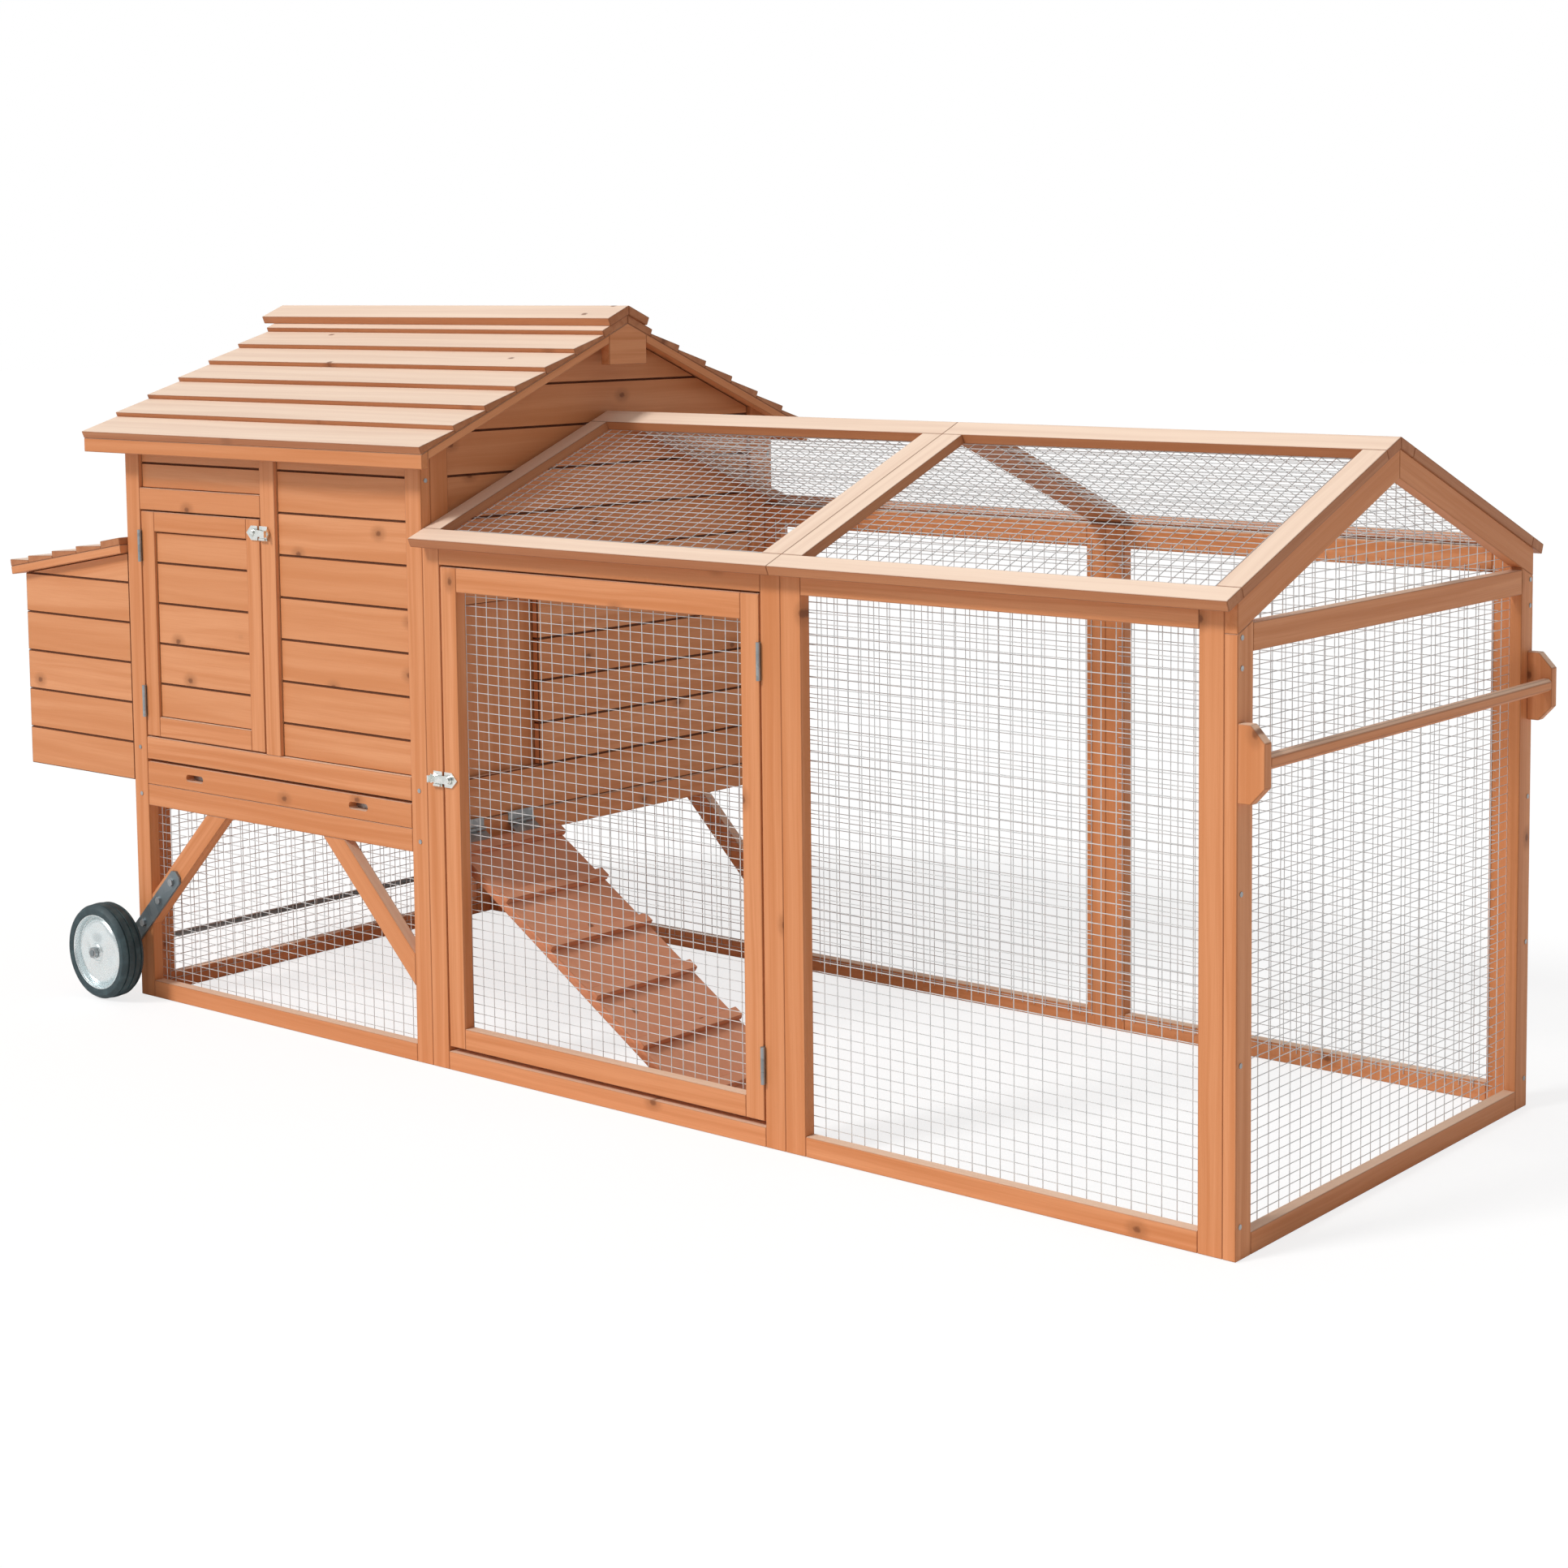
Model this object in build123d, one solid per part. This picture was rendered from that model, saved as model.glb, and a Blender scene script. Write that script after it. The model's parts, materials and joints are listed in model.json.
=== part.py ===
"""Mobile timber chicken coop: a raised house with a nest box, wheels and a tray, and a long mesh run.

Sizes are in millimetres. X runs along the coop, from the nest box to the handle, -Y is the front,
and Z is up. The origin lies on the ground below the middle of the whole coop.
"""
from build123d import *
import os
from math import cos, radians, sin, tan

# Lengths along X
lid_tip_out = 25            # lid beyond the nest box
nest_len = 275
house_len = 685
door_bay_len = 673          # run module with the door
mesh_bay_len = 664          # plain run module
handle_reach = 36

# Depth and framing timber
depth = 760                 # front face to back face of the walls
frame_t = 18                # thickness of every frame member
stile_w = 34                # width of every upright and upper rail
foot_rail_h = 27

# Heights
low_rail_z = 310            # underside of the rail that carries the house floor
sill_z = 384.5              # underside of the sill over the tray
door_head_z = 780           # underside of the rail over the house door
house_wall_top = 907        # underside of the roof boards at the wall's outer face
run_wall_top = 766          # underside of the run's roof frames at the wall's outer face

# Siding
siding_t = 12
siding_pitch = 63.6
siding_groove_z = 408       # one groove of the siding; the others lie a pitch apart
siding_inset = 6            # frame faces stand this far proud of the boards
board_gap = 0.6

# House roof
house_slope = 23
house_eave_out = 38
roof_out_left = 51
roof_out_right = 46
slat_t = 12
slat_thin = 5
slat_pitch = 66
top_slat_w = 54
cap_half_w = 35
cap_t = 13
cap_out = 23                # ridge cap beyond the roof boards at the nest end
cap_out_right = 3
rafter_w = 18
rafter_h = 34
batten_h = 12
fascia_t = 12
fascia_h = 21
apex_half_w = 40
apex_h = 62

# Run roof
run_slope = 22.1
run_eave_out = 22
run_roof_t = 14
run_roof_end_out = 2
roof_mesh_lap = 4

crossbar_z0 = 707           # bar across the run's end
crossbar_z1 = 740

# Doors
door_gap = 2.5
run_door_foot_gap = 7.5
house_door_span = 295       # clear width between the corner post and the mullion
house_door_stile = 32
house_door_rail = 31
house_door_groove_z = 507
door_board_t = 10
door_board_inset = 4
run_door_stile = 32
run_door_foot_h = 30
run_door_top_h = 35
stop_t = 3                  # strips behind the gap round the run's door
stop_seat = 10              # their width on the fixed frame
stop_lap = 8                # and behind the door
stop_rebate = 0.6

# Nest box
nest_floor_z = 347
nest_wall_top = 662         # wall top at the outer end, where the lid is lowest
nest_wall_t = 12
lid_slope = 9.8
lid_rest_gap = 0.3
lid_side_out = 12
lid_rail_t = 13
lid_slat_first = 50
lid_wall_gap = 2
divider_top = 640
nest_mouth_z0 = 420
nest_mouth_z1 = 700
hinge_rail_top = 768

# House floor, tray and perches
floor_t = 12
tray_rest_gap = 0.3
tray_side_gap = 1
tray_front_t = 15
tray_front_z0 = 345
tray_front_z1 = 380
tray_wall = 2
tray_pan_h = 31
tray_pan_depth = 705
tray_slot_w = 42
tray_slot_h = 11
tray_slot_z = 363.5
tray_slot_inset = 116       # centre of each slot from the end of the tray front
runner_gap = 2
perch_w = 30
perch_h = 25
perch_z = 545
perch_first = 130           # perch centres from the run end of the house
perch_pitch = 130

# Opening to the ramp and its sliding door
pop_hole_w = 178
pop_hole_boards = 4
pop_door_t = 8
pop_door_lap = 10
pop_door_behind = 2
pop_guide_w = 13
pop_guide_lip = 4
pop_guide_lip_lap = 11
pop_guide_gap = 1
pop_guide_drop = 61         # top of the guides below the top of the house wall

# Ramp
ramp_w = 198
ramp_front_gap = 33         # ramp edge from the front face of the coop
ramp_slope = 32.8
ramp_t = 14
ramp_foot_gap = 0.5
ramp_len = 570
ramp_lead = 16              # ramp board's upper edge from its hinge axis
cleat_pitch = 104
cleat_count = 6
cleat_first = 11
cleat_w = 18
cleat_h = 9
cleat_out = 3

# Hinges and latches
hinge_h = 50
hinge_inset = 32            # hinge from the end of the house door
leaf_t = 1
leaf_w = 14
knuckle_r = 3
pin_r = 1.5
pin_clear = 0.05
knuckle_gap = 0.3
knuckle_seat = 0.2          # knuckle clear of the wood that its leaf lies on
lid_hinge_ys = (-240, 240)
run_hinge_heights = (110, 642)
latch_plate_t = 2
latch_lever_t = 3
latch_lever_w = 13
latch_gap = 0.4
latch_stud_r = 3
latch_stud_clear = 0.05
house_latch_z = 757
run_latch_z = 424

# Wheels and axle
wheel_r = 76
wheel_lift = 0.5            # tyre above the plane of the foot rails
wheel_w = 40
wheel_out = 26              # inner side of the tyre from the front face
rim_r = 60
rim_t = 3
disc_t = 2.5
disc_dish = 10
hub_r = 12
hub_inner_out = 4
spoke_count = 8
axle_r = 5
axle_clear = 0.05
axle_behind = 26            # axle centre beyond the end of the house
strut_w = 26
strut_t = 4
strut_len = 185
strut_clip = 7
strut_bolt_places = (60, 118, 165)
brace_angle = 45
left_brace_foot_z = 118     # lower edge where each brace meets its leg
right_brace_foot_z = 112

# Handle
bracket_t = 15
bracket_h = 92
bracket_z = 536
bracket_clip_x = 19
bracket_clip_z = 20
bar_d = 16
bar_h = 18
bar_z = 576
bar_chamfer = 4

# Wire mesh: every fourth wire of the welded mesh stands for it
wire_t = 1.6
wire_w = 2
cell_w = 86
cell_h = 55
mesh_lap = 10

# Screws
screw_r = 3.2
screw_h = 0.8
end_screw_heights = (40, 230, 430)
end_screw_drops = (76, 41)  # below the top of the run's wall
post_screw_drops = (57, 22)  # below the top of the house wall

# Places worked out from the sizes above
whole_len = lid_tip_out + nest_len + house_len + door_bay_len + mesh_bay_len + frame_t + handle_reach
x_lid_tip = -whole_len / 2
x_nest = x_lid_tip + lid_tip_out
x_house = x_nest + nest_len
x_run = x_house + house_len
x_seam = x_run + door_bay_len
x_end = x_seam + mesh_bay_len
x_face = x_end + frame_t
x_handle = x_face + handle_reach
y_front = -depth / 2
y_inner = y_front + frame_t
y_stile = y_inner + stile_w
floor_top = low_rail_z + stile_w
sill_top = sill_z + stile_w + 1.5
x_post_l = x_house + stile_w
x_post_r = x_run - stile_w
x_mullion = x_post_l + house_door_span - 2
z_axle = wheel_r + wheel_lift
x_axle = x_house - axle_behind
house_tan = tan(radians(house_slope))
run_tan = tan(radians(run_slope))
lid_tan = tan(radians(lid_slope))
house_ridge = house_wall_top + depth / 2 * house_tan
run_ridge_under = run_wall_top + depth / 2 * run_tan
leaf_offset = knuckle_r + knuckle_seat - leaf_t
house_hinge_heights = (sill_top + hinge_inset + hinge_h / 2, door_head_z - hinge_inset - hinge_h / 2)
pop_hole_z0 = siding_groove_z
pop_hole_z1 = siding_groove_z + pop_hole_boards * siding_pitch


def block(x0, x1, y0, y1, z0, z1):
    """A box between two corners."""
    centre = Pos((x0 + x1) / 2, (y0 + y1) / 2, (z0 + z1) / 2)
    return centre * Box(x1 - x0, y1 - y0, z1 - z0)


def along_x(x0, x1, outline):
    """A board with a YZ outline that runs from x0 to x1."""
    face = make_face(Polyline(*[(x0, y, z) for y, z in outline], close=True))
    return extrude(face, amount=x1 - x0, dir=(1, 0, 0))


def along_y(y0, y1, outline):
    """A board with an XZ outline that runs from y0 to y1."""
    face = make_face(Polyline(*[(x, y0, z) for x, z in outline], close=True))
    return extrude(face, amount=y1 - y0, dir=(0, 1, 0))


def rod_y(x, z, radius, y0, y1):
    """A round bar along Y."""
    plane = Plane(origin=(x, y0, z), x_dir=(1, 0, 0), z_dir=(0, 1, 0))
    return plane * extrude(Circle(radius), amount=y1 - y0)


def to_back(shape):
    """The same piece on the back of the coop."""
    return mirror(shape, about=Plane.XZ)


def both_sides(pieces):
    """A piece or pieces on the front, and their mirror images on the back."""
    return list(pieces) + [to_back(piece) for piece in pieces]


def save(node, pieces):
    """Write one named sub-part, keeping each piece a separate solid."""
    solids = [solid for piece in pieces for solid in piece.solids()]
    shape = solids[0] if len(solids) == 1 else Compound(solids)
    export_step(shape, f"parts/{node}.step")


def board_spans(z0, z1, groove_z=siding_groove_z):
    """The heights of the siding boards that cover a wall from z0 to z1."""
    first = int((z0 - groove_z) // siding_pitch)
    last = int((z1 - groove_z) // siding_pitch) + 1
    cuts = [groove_z + i * siding_pitch for i in range(first, last + 1)]
    inside = [z0] + [z for z in cuts if z0 + 8 < z < z1 - 8] + [z1]
    return [(low, high - board_gap) for low, high in zip(inside, inside[1:])]


def mesh_sheet(outline, plane):
    """A sheet of welded mesh, drawn in a plane's own coordinates, one flat piece."""
    us = [u for u, v in outline]
    vs = [v for u, v in outline]
    width = max(us) - min(us)
    height = max(vs) - min(vs)
    columns = max(1, round(width / cell_w))
    rows = max(1, round(height / cell_h))
    pitch_u = (width - wire_w) / columns
    pitch_v = (height - wire_w) / rows
    middle = Pos((max(us) + min(us)) / 2, (max(vs) + min(vs)) / 2)
    holes = GridLocations(pitch_u, pitch_v, columns, rows) * Rectangle(pitch_u - wire_w, pitch_v - wire_w)
    face = make_face(Polyline(*outline, close=True))
    inside = offset(face, -wire_w)
    cut = [middle * hole & inside for hole in holes]
    whole = face - [hole for hole in cut if hole and hole.area > 30]
    return plane * extrude(whole, amount=wire_t)


def wall_sheet(x0, x1, z0, z1, y):
    """Mesh in a long wall, with its front side at y."""
    plane = Plane(origin=(0, y + wire_t, 0), x_dir=(1, 0, 0), z_dir=(0, -1, 0))
    return mesh_sheet([(x0, z0), (x1, z0), (x1, z1), (x0, z1)], plane)


def end_sheet(outline, x):
    """Mesh in an end wall, with its nest side at x, from a YZ outline."""
    return mesh_sheet(outline, Plane(origin=(x, 0, 0), x_dir=(0, 1, 0), z_dir=(1, 0, 0)))


def wall_frame(x0, x1, z_top, z_head):
    """Two stiles, a foot rail and a head rail of a long wall."""
    return [
        block(x0, x0 + stile_w, y_front, y_inner, 0, z_top),
        block(x1 - stile_w, x1, y_front, y_inner, 0, z_top),
        block(x0 + stile_w, x1 - stile_w, y_front, y_inner, 0, foot_rail_h),
        block(x0 + stile_w, x1 - stile_w, y_front, y_inner, z_head, z_top),
    ]


def house_front_frame():
    return [
        block(x_house, x_post_l, y_front, y_inner, 0, house_wall_top),
        block(x_post_r, x_run, y_front, y_inner, 0, house_wall_top),
        block(x_post_l, x_post_r, y_front, y_inner, 0, foot_rail_h),
        block(x_post_l, x_post_r, y_front, y_inner, low_rail_z, floor_top),
        block(x_post_l, x_post_r, y_front, y_inner, sill_z, sill_top),
        block(x_mullion, x_mullion + stile_w, y_front, y_inner, sill_top, house_wall_top),
        block(x_post_l, x_mullion, y_front, y_inner, door_head_z, door_head_z + stile_w),
    ]


def house_back_frame():
    front = [
        block(x_house, x_post_l, y_front, y_inner, 0, house_wall_top),
        block(x_post_r, x_run, y_front, y_inner, 0, house_wall_top),
        block(x_post_l, x_post_r, y_front, y_inner, 0, foot_rail_h),
        block(x_post_l, x_post_r, y_front, y_inner, low_rail_z, floor_top),
    ]
    return [to_back(piece) for piece in front]


def roof_under(y):
    """Height of the underside of the house roof boards."""
    return house_wall_top + (y - y_front if y < 0 else -y - y_front) * house_tan


def house_end_frames():
    pieces = []
    for x0 in (x_house, x_run - frame_t):
        outline = [
            (y_inner, 0),
            (y_stile, 0),
            (y_stile, roof_under(y_stile)),
            (y_inner, roof_under(y_inner)),
        ]
        pieces += both_sides([along_x(x0, x0 + frame_t, outline)])
        pieces.append(block(x0, x0 + frame_t, y_stile, -y_stile, low_rail_z, floor_top))
    left = (x_house, x_house + frame_t, y_stile, -y_stile)
    pieces.append(block(*left, 0, foot_rail_h))
    pieces.append(block(*left, floor_top, nest_mouth_z0))
    pieces.append(block(*left, nest_mouth_z1, hinge_rail_top))
    return pieces


def house_front_siding():
    y0 = y_front + siding_inset
    door_bay = board_spans(door_head_z + stile_w, house_wall_top)
    wall_bay = board_spans(sill_top, house_wall_top)
    over_door = [block(x_post_l, x_mullion, y0, y_inner, low, high) for low, high in door_bay]
    x0 = x_mullion + stile_w
    return over_door + [block(x0, x_post_r, y0, y_inner, low, high) for low, high in wall_bay]


def house_back_siding():
    y0 = y_front + siding_inset
    spans = board_spans(floor_top, house_wall_top)
    return [to_back(block(x_post_l, x_post_r, y0, y_inner, low, high)) for low, high in spans]


def gable_boards(x0, x1, z0):
    """Siding of a gable wall, cut to the slope of the roof."""
    outline = [
        (y_stile, z0),
        (-y_stile, z0),
        (-y_stile, roof_under(y_stile)),
        (0, house_ridge),
        (y_stile, roof_under(y_stile)),
    ]
    wall = along_x(x0, x1, outline)
    spans = board_spans(z0, house_ridge)
    return [wall & block(x0, x1, y_stile, -y_stile, low, high) for low, high in spans]


def left_end_siding():
    x0 = x_house + siding_inset
    return gable_boards(x0, x0 + siding_t, hinge_rail_top)


def right_gable_siding():
    x1 = x_run - siding_inset
    x0 = x1 - siding_t
    pop_hole = block(x0 - 1, x1 + 1, y_stile - 1, y_stile + pop_hole_w, pop_hole_z0 - board_gap, pop_hole_z1)
    return [board - pop_hole for board in gable_boards(x0, x1, floor_top)]


def house_floor():
    return [block(x_house + frame_t, x_run - frame_t, y_inner, -y_inner, floor_top - floor_t, floor_top)]


def tray_runners():
    left = block(x_house + frame_t, x_post_l + 2, y_stile, -y_inner, floor_top, sill_z)
    right = block(x_post_r - 2, x_run - frame_t, y_stile, -y_inner, floor_top, sill_z)
    return [left, right]


def perches():
    places = [x_run - perch_first - i * perch_pitch for i in range(2)]
    bars = [block(x - perch_w / 2, x + perch_w / 2, y_inner, -y_inner, perch_z, perch_z + perch_h) for x in places]
    return [chamfer(bar.edges().filter_by(Axis.Y), 5) for bar in bars]


def slope_point(along, above):
    """A point of the front roof slope: distance up from the eave, height above the boards' underside."""
    angle = radians(house_slope)
    y = y_front - house_eave_out + along * cos(angle) - above * sin(angle)
    z = house_wall_top - house_eave_out * house_tan + along * sin(angle) + above * cos(angle)
    return y, z


def roof_rafters():
    drop = rafter_h / cos(radians(house_slope))
    outline = [
        (y_inner, roof_under(y_inner) - drop),
        (0, house_ridge - drop),
        (0, house_ridge),
        (y_inner, roof_under(y_inner)),
    ]
    middle = x_mullion + (stile_w - rafter_w) / 2
    places = (x_house + frame_t, middle, x_run - frame_t - stile_w - rafter_w)
    rafters = [along_x(x, x + rafter_w, outline) for x in places]
    y_plate = y_inner + frame_t
    plate = [
        (y_inner, roof_under(y_inner) - drop - stile_w + 6),
        (y_plate, roof_under(y_inner) - drop - stile_w + 6),
        (y_plate, roof_under(y_plate) - drop),
        (y_inner, roof_under(y_inner) - drop),
    ]
    return both_sides(rafters + [along_x(x_house + frame_t, x_run - frame_t, plate)])


def roof_slats():
    """The boards of the front slope, each thick at its lower edge."""
    x0 = x_house - roof_out_left
    x1 = x_run + roof_out_right
    slope_len = (depth / 2 + house_eave_out) / cos(radians(house_slope))
    top = slope_len - top_slat_w
    cuts = [top - i * slat_pitch for i in range(6)][::-1]
    cuts[0] = 0 if cuts[0] < slat_pitch / 2 else cuts[0]
    if cuts[0] > 0:
        cuts = [0] + cuts
    slats = []
    for low, high in zip(cuts, cuts[1:]):
        outline = [
            slope_point(low, 0),
            slope_point(high, 0),
            slope_point(high, slat_thin),
            slope_point(low, slat_t),
        ]
        slats.append(along_x(x0, x1, outline))
    ridge_top = house_ridge + slat_t / cos(radians(house_slope))
    outline = [slope_point(top, 0), (0, house_ridge), (0, ridge_top), slope_point(top, slat_t)]
    slats.append(along_x(x0, x1, outline))
    return slats


def ridge_cap():
    angle = radians(house_slope)
    slope_len = (depth / 2 + house_eave_out) / cos(angle)
    edge = slope_len - cap_half_w / cos(angle)
    low = house_ridge + slat_t / cos(angle)
    outline = [
        slope_point(edge, slat_t),
        (0, low),
        (0, low + cap_t / cos(angle)),
        slope_point(edge, slat_t + cap_t),
    ]
    x0 = x_house - roof_out_left - cap_out
    return both_sides([along_x(x0, x_run + roof_out_right + cap_out_right, outline)])


def eave_and_gable_boards():
    x0 = x_house - roof_out_left
    x1 = x_run + roof_out_right
    y0 = y_front - house_eave_out
    y1 = y0 + fascia_t
    bottom = roof_under(y0) - fascia_h
    fascia = along_x(x0, x1, [(y0, bottom), (y1, bottom), (y1, roof_under(y1)), (y0, roof_under(y0))])
    drop = batten_h / cos(radians(house_slope))
    outline = [
        (y1, roof_under(y1) - drop),
        (-apex_half_w, roof_under(-apex_half_w) - drop),
        (-apex_half_w, roof_under(-apex_half_w)),
        (y1, roof_under(y1)),
    ]
    apex = [
        (-apex_half_w, house_ridge - apex_h),
        (apex_half_w, house_ridge - apex_h),
        (apex_half_w, roof_under(apex_half_w)),
        (0, house_ridge),
        (-apex_half_w, roof_under(-apex_half_w)),
    ]
    battens = [along_x(x, x + rafter_w, outline) for x in (x0, x1 - rafter_w)]
    blocks = [along_x(x, x + rafter_w, apex) for x in (x0, x1 - rafter_w)]
    return both_sides([fascia] + battens) + blocks


def brace_outline(x_leg, toward, foot_z):
    """A sloping brace from a leg's inner side up to the low rail."""
    reach = tan(radians(90 - brace_angle))
    across = stile_w / cos(radians(brace_angle))
    return [
        (x_leg, foot_z),
        (x_leg + toward * (low_rail_z - foot_z) * reach, low_rail_z),
        (x_leg + toward * (low_rail_z - foot_z - across) * reach, low_rail_z),
        (x_leg, foot_z + across),
    ]


def underframe_braces():
    left = along_y(y_front, y_inner, brace_outline(x_post_l, 1, left_brace_foot_z))
    right = along_y(y_front, y_inner, brace_outline(x_post_r, -1, right_brace_foot_z))
    return both_sides([left, right])


def underframe_mesh():
    z0 = foot_rail_h - mesh_lap
    z1 = low_rail_z + mesh_lap
    front = wall_sheet(x_house + frame_t + 1, x_run - frame_t - 1, z0, z1, y_inner)
    y_side = y_stile - mesh_lap
    end = end_sheet([(y_side, z0), (-y_side, z0), (-y_side, z1), (y_side, z1)], x_house + frame_t)
    return both_sides([front]) + [end]


def lid_under(x):
    """Height of the nest box walls below the lid."""
    return nest_wall_top + (x - x_nest) * lid_tan


def nest_walls():
    x_inner = x_nest + nest_wall_t
    y0 = y_front
    y1 = y_front + nest_wall_t
    side_outline = [
        (x_nest, nest_floor_z),
        (x_house, nest_floor_z),
        (x_house, lid_under(x_house)),
        (x_nest, lid_under(x_nest)),
    ]
    side = along_y(y0, y1, side_outline)
    spans = board_spans(nest_floor_z, lid_under(x_house))
    boards = [side & block(x_nest, x_house, y0, y1, low, high) for low, high in spans]
    end_spans = board_spans(nest_floor_z, nest_wall_top)
    ends = [block(x_nest, x_inner, y1, -y1, low, high) for low, high in end_spans]
    return both_sides(boards) + ends


def nest_floor():
    y1 = y_front + nest_wall_t
    return [block(x_nest + nest_wall_t, x_house, y1, -y1, nest_floor_z, nest_floor_z + floor_t)]


def nest_divider():
    x0 = x_nest + nest_wall_t
    half = nest_wall_t / 2
    return [block(x0, x_house, -half, half, nest_floor_z + floor_t, divider_top)]


def lid_point(along, above):
    """A point of the lid: distance up from its tip, height above its underside."""
    angle = radians(lid_slope)
    x_under = x_lid_tip + (lid_rail_t + slat_t) * sin(angle)
    x = x_under + along * cos(angle) - above * sin(angle)
    z = lid_under(x_under) + lid_rest_gap + along * sin(angle) + above * cos(angle)
    return x, z


def lid_length():
    """Length of the lid's underside, up to its gap at the house wall."""
    return (x_house - lid_wall_gap - lid_point(0, 0)[0]) / cos(radians(lid_slope))


def nest_lid_rails():
    length = lid_length()
    outline = [lid_point(0, 0), lid_point(length, 0), lid_point(length, lid_rail_t), lid_point(0, lid_rail_t)]
    y0 = y_front - lid_side_out
    side = along_y(y0, y0 + stile_w, outline)
    inset = nest_wall_t + 8
    middle_outline = [
        lid_point(lid_tip_out + inset, 0),
        lid_point(length, 0),
        lid_point(length, lid_rail_t),
        lid_point(lid_tip_out + inset, lid_rail_t),
    ]
    return both_sides([side]) + [along_y(-stile_w / 2, stile_w / 2, middle_outline)]


def nest_lid_slats():
    length = lid_length()
    y0 = y_front - lid_side_out
    cuts = [0] + [lid_slat_first + i * slat_pitch for i in range(4)] + [length]
    slats = []
    for low, high in zip(cuts, cuts[1:]):
        upper_t = slat_t if high == length else slat_thin
        outline = [
            lid_point(low, lid_rail_t),
            lid_point(high, lid_rail_t),
            lid_point(high, lid_rail_t + upper_t),
            lid_point(low, lid_rail_t + slat_t),
        ]
        slats.append(along_y(y0, -y0, outline))
    return slats


def tray_x():
    return x_post_l + tray_side_gap, x_post_r - tray_side_gap


def tray_front():
    x0, x1 = tray_x()
    board = block(x0, x1, y_front, y_front + tray_front_t, tray_front_z0, tray_front_z1)
    for x in (x0 + tray_slot_inset, x1 - tray_slot_inset):
        slot = extrude(SlotOverall(tray_slot_w, tray_slot_h), amount=tray_front_t + 2)
        plane = Plane(origin=(x, y_front - 1, tray_slot_z), x_dir=(1, 0, 0), z_dir=(0, 1, 0))
        board -= plane * slot
    return [board]


def tray_pan():
    x0, x1 = tray_x()
    x0 += 2 * runner_gap
    x1 -= 2 * runner_gap
    y0 = y_front + tray_front_t
    y1 = y0 + tray_pan_depth
    z0 = floor_top + tray_rest_gap
    z1 = z0 + tray_pan_h
    outer = block(x0, x1, y0, y1, z0, z1)
    w = tray_wall
    return [outer - block(x0 + w, x1 - w, y0 + w, y1 - w, z0 + w, z1 + w)]


def pop_door_place():
    """Extent of the sliding door: y from and to, x from and to, z from and to."""
    x1 = x_run - frame_t - pop_door_behind
    y0 = y_stile - pop_door_lap
    y1 = y_stile + pop_hole_w + pop_door_lap
    return x1 - pop_door_t, x1, y0, y1, pop_hole_z0 - pop_door_lap, pop_hole_z1 + pop_door_lap


def pop_door_panel():
    return [block(*pop_door_place())]


def pop_door_guides():
    x0, x1, y0, y1, z0, z1 = pop_door_place()
    wall = x_run - frame_t
    behind = x0 - pop_guide_gap
    lip = behind - pop_guide_lip
    front_guide = Plane(origin=(0, 0, sill_z)) * extrude(make_face(Polyline(
        (wall, y0 - pop_guide_gap),
        (wall, y0 - pop_guide_gap - pop_guide_w),
        (lip, y0 - pop_guide_gap - pop_guide_w),
        (lip, y0 + pop_guide_lip_lap),
        (behind, y0 + pop_guide_lip_lap),
        (behind, y0 - pop_guide_gap),
        close=True,
    )), amount=house_wall_top - pop_guide_drop - sill_z)
    middle = (y0 + y1) / 2
    back_guide = mirror(front_guide, about=Plane(origin=(0, middle, 0), z_dir=(0, 1, 0)))
    stop = block(x0, wall, y0, y1, sill_z, z0 - tray_rest_gap)
    return [front_guide, back_guide, stop]


def ramp_plane():
    """The ramp's own plane: x down the slope, y across, z out of the walking side."""
    angle = radians(ramp_slope)
    hinge_x, hinge_z = ramp_hinge_place()
    x_dir = (cos(angle), 0, -sin(angle))
    y_mid = y_front + ramp_front_gap + ramp_w / 2
    return Plane(origin=(hinge_x, y_mid, hinge_z), x_dir=x_dir, z_dir=(sin(angle), 0, cos(angle)))


def ramp_hinge_place():
    """Centre of the ramp's hinge pin, just outside the low rail."""
    x = x_run + knuckle_r + knuckle_seat
    return x, ramp_foot_z() + (ramp_len + ramp_lead) * sin(radians(ramp_slope))


def ramp_foot_z():
    """Height of the hinge axis line at the ramp's lower end."""
    below = knuckle_r + knuckle_seat + ramp_t
    return ramp_foot_gap + below * cos(radians(ramp_slope))


def ramp_board():
    top = -knuckle_r - knuckle_seat
    board = Pos(ramp_lead + ramp_len / 2, 0, top - ramp_t / 2) * Box(ramp_len, ramp_w, ramp_t)
    return [ramp_plane() * board]


def ramp_cleats():
    top = -knuckle_r - knuckle_seat
    cleats = []
    for i in range(cleat_count):
        along = ramp_lead + cleat_first + i * cleat_pitch
        cleat = Pos(along + cleat_w / 2, 0, top + cleat_h / 2) * Box(cleat_w, ramp_w + 2 * cleat_out, cleat_h)
        cleats.append(ramp_plane() * cleat)
    return cleats


def hinge_leaf(moving, offset_from_axis, reach):
    """One half of a butt hinge about its own Z axis, with its leaf along +X beside the axis."""
    third = hinge_h / 3
    if moving:
        spans = [(-third / 2 + knuckle_gap, third / 2 - knuckle_gap)]
    else:
        spans = [(-hinge_h / 2, -third / 2), (third / 2, hinge_h / 2)]
    start = knuckle_r + knuckle_gap
    low = offset_from_axis
    high = offset_from_axis + leaf_t
    leaf = block(start, reach, low, high, -hinge_h / 2, hinge_h / 2)
    for z0, z1 in spans:
        leaf += Pos(0, 0, (z0 + z1) / 2) * Cylinder(knuckle_r, z1 - z0)
        leaf += block(0, start, low, high, z0, z1)
    if moving:
        leaf -= Cylinder(pin_r + pin_clear, hinge_h + 2)
    else:
        leaf += Cylinder(pin_r, hinge_h)
    return leaf


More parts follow.
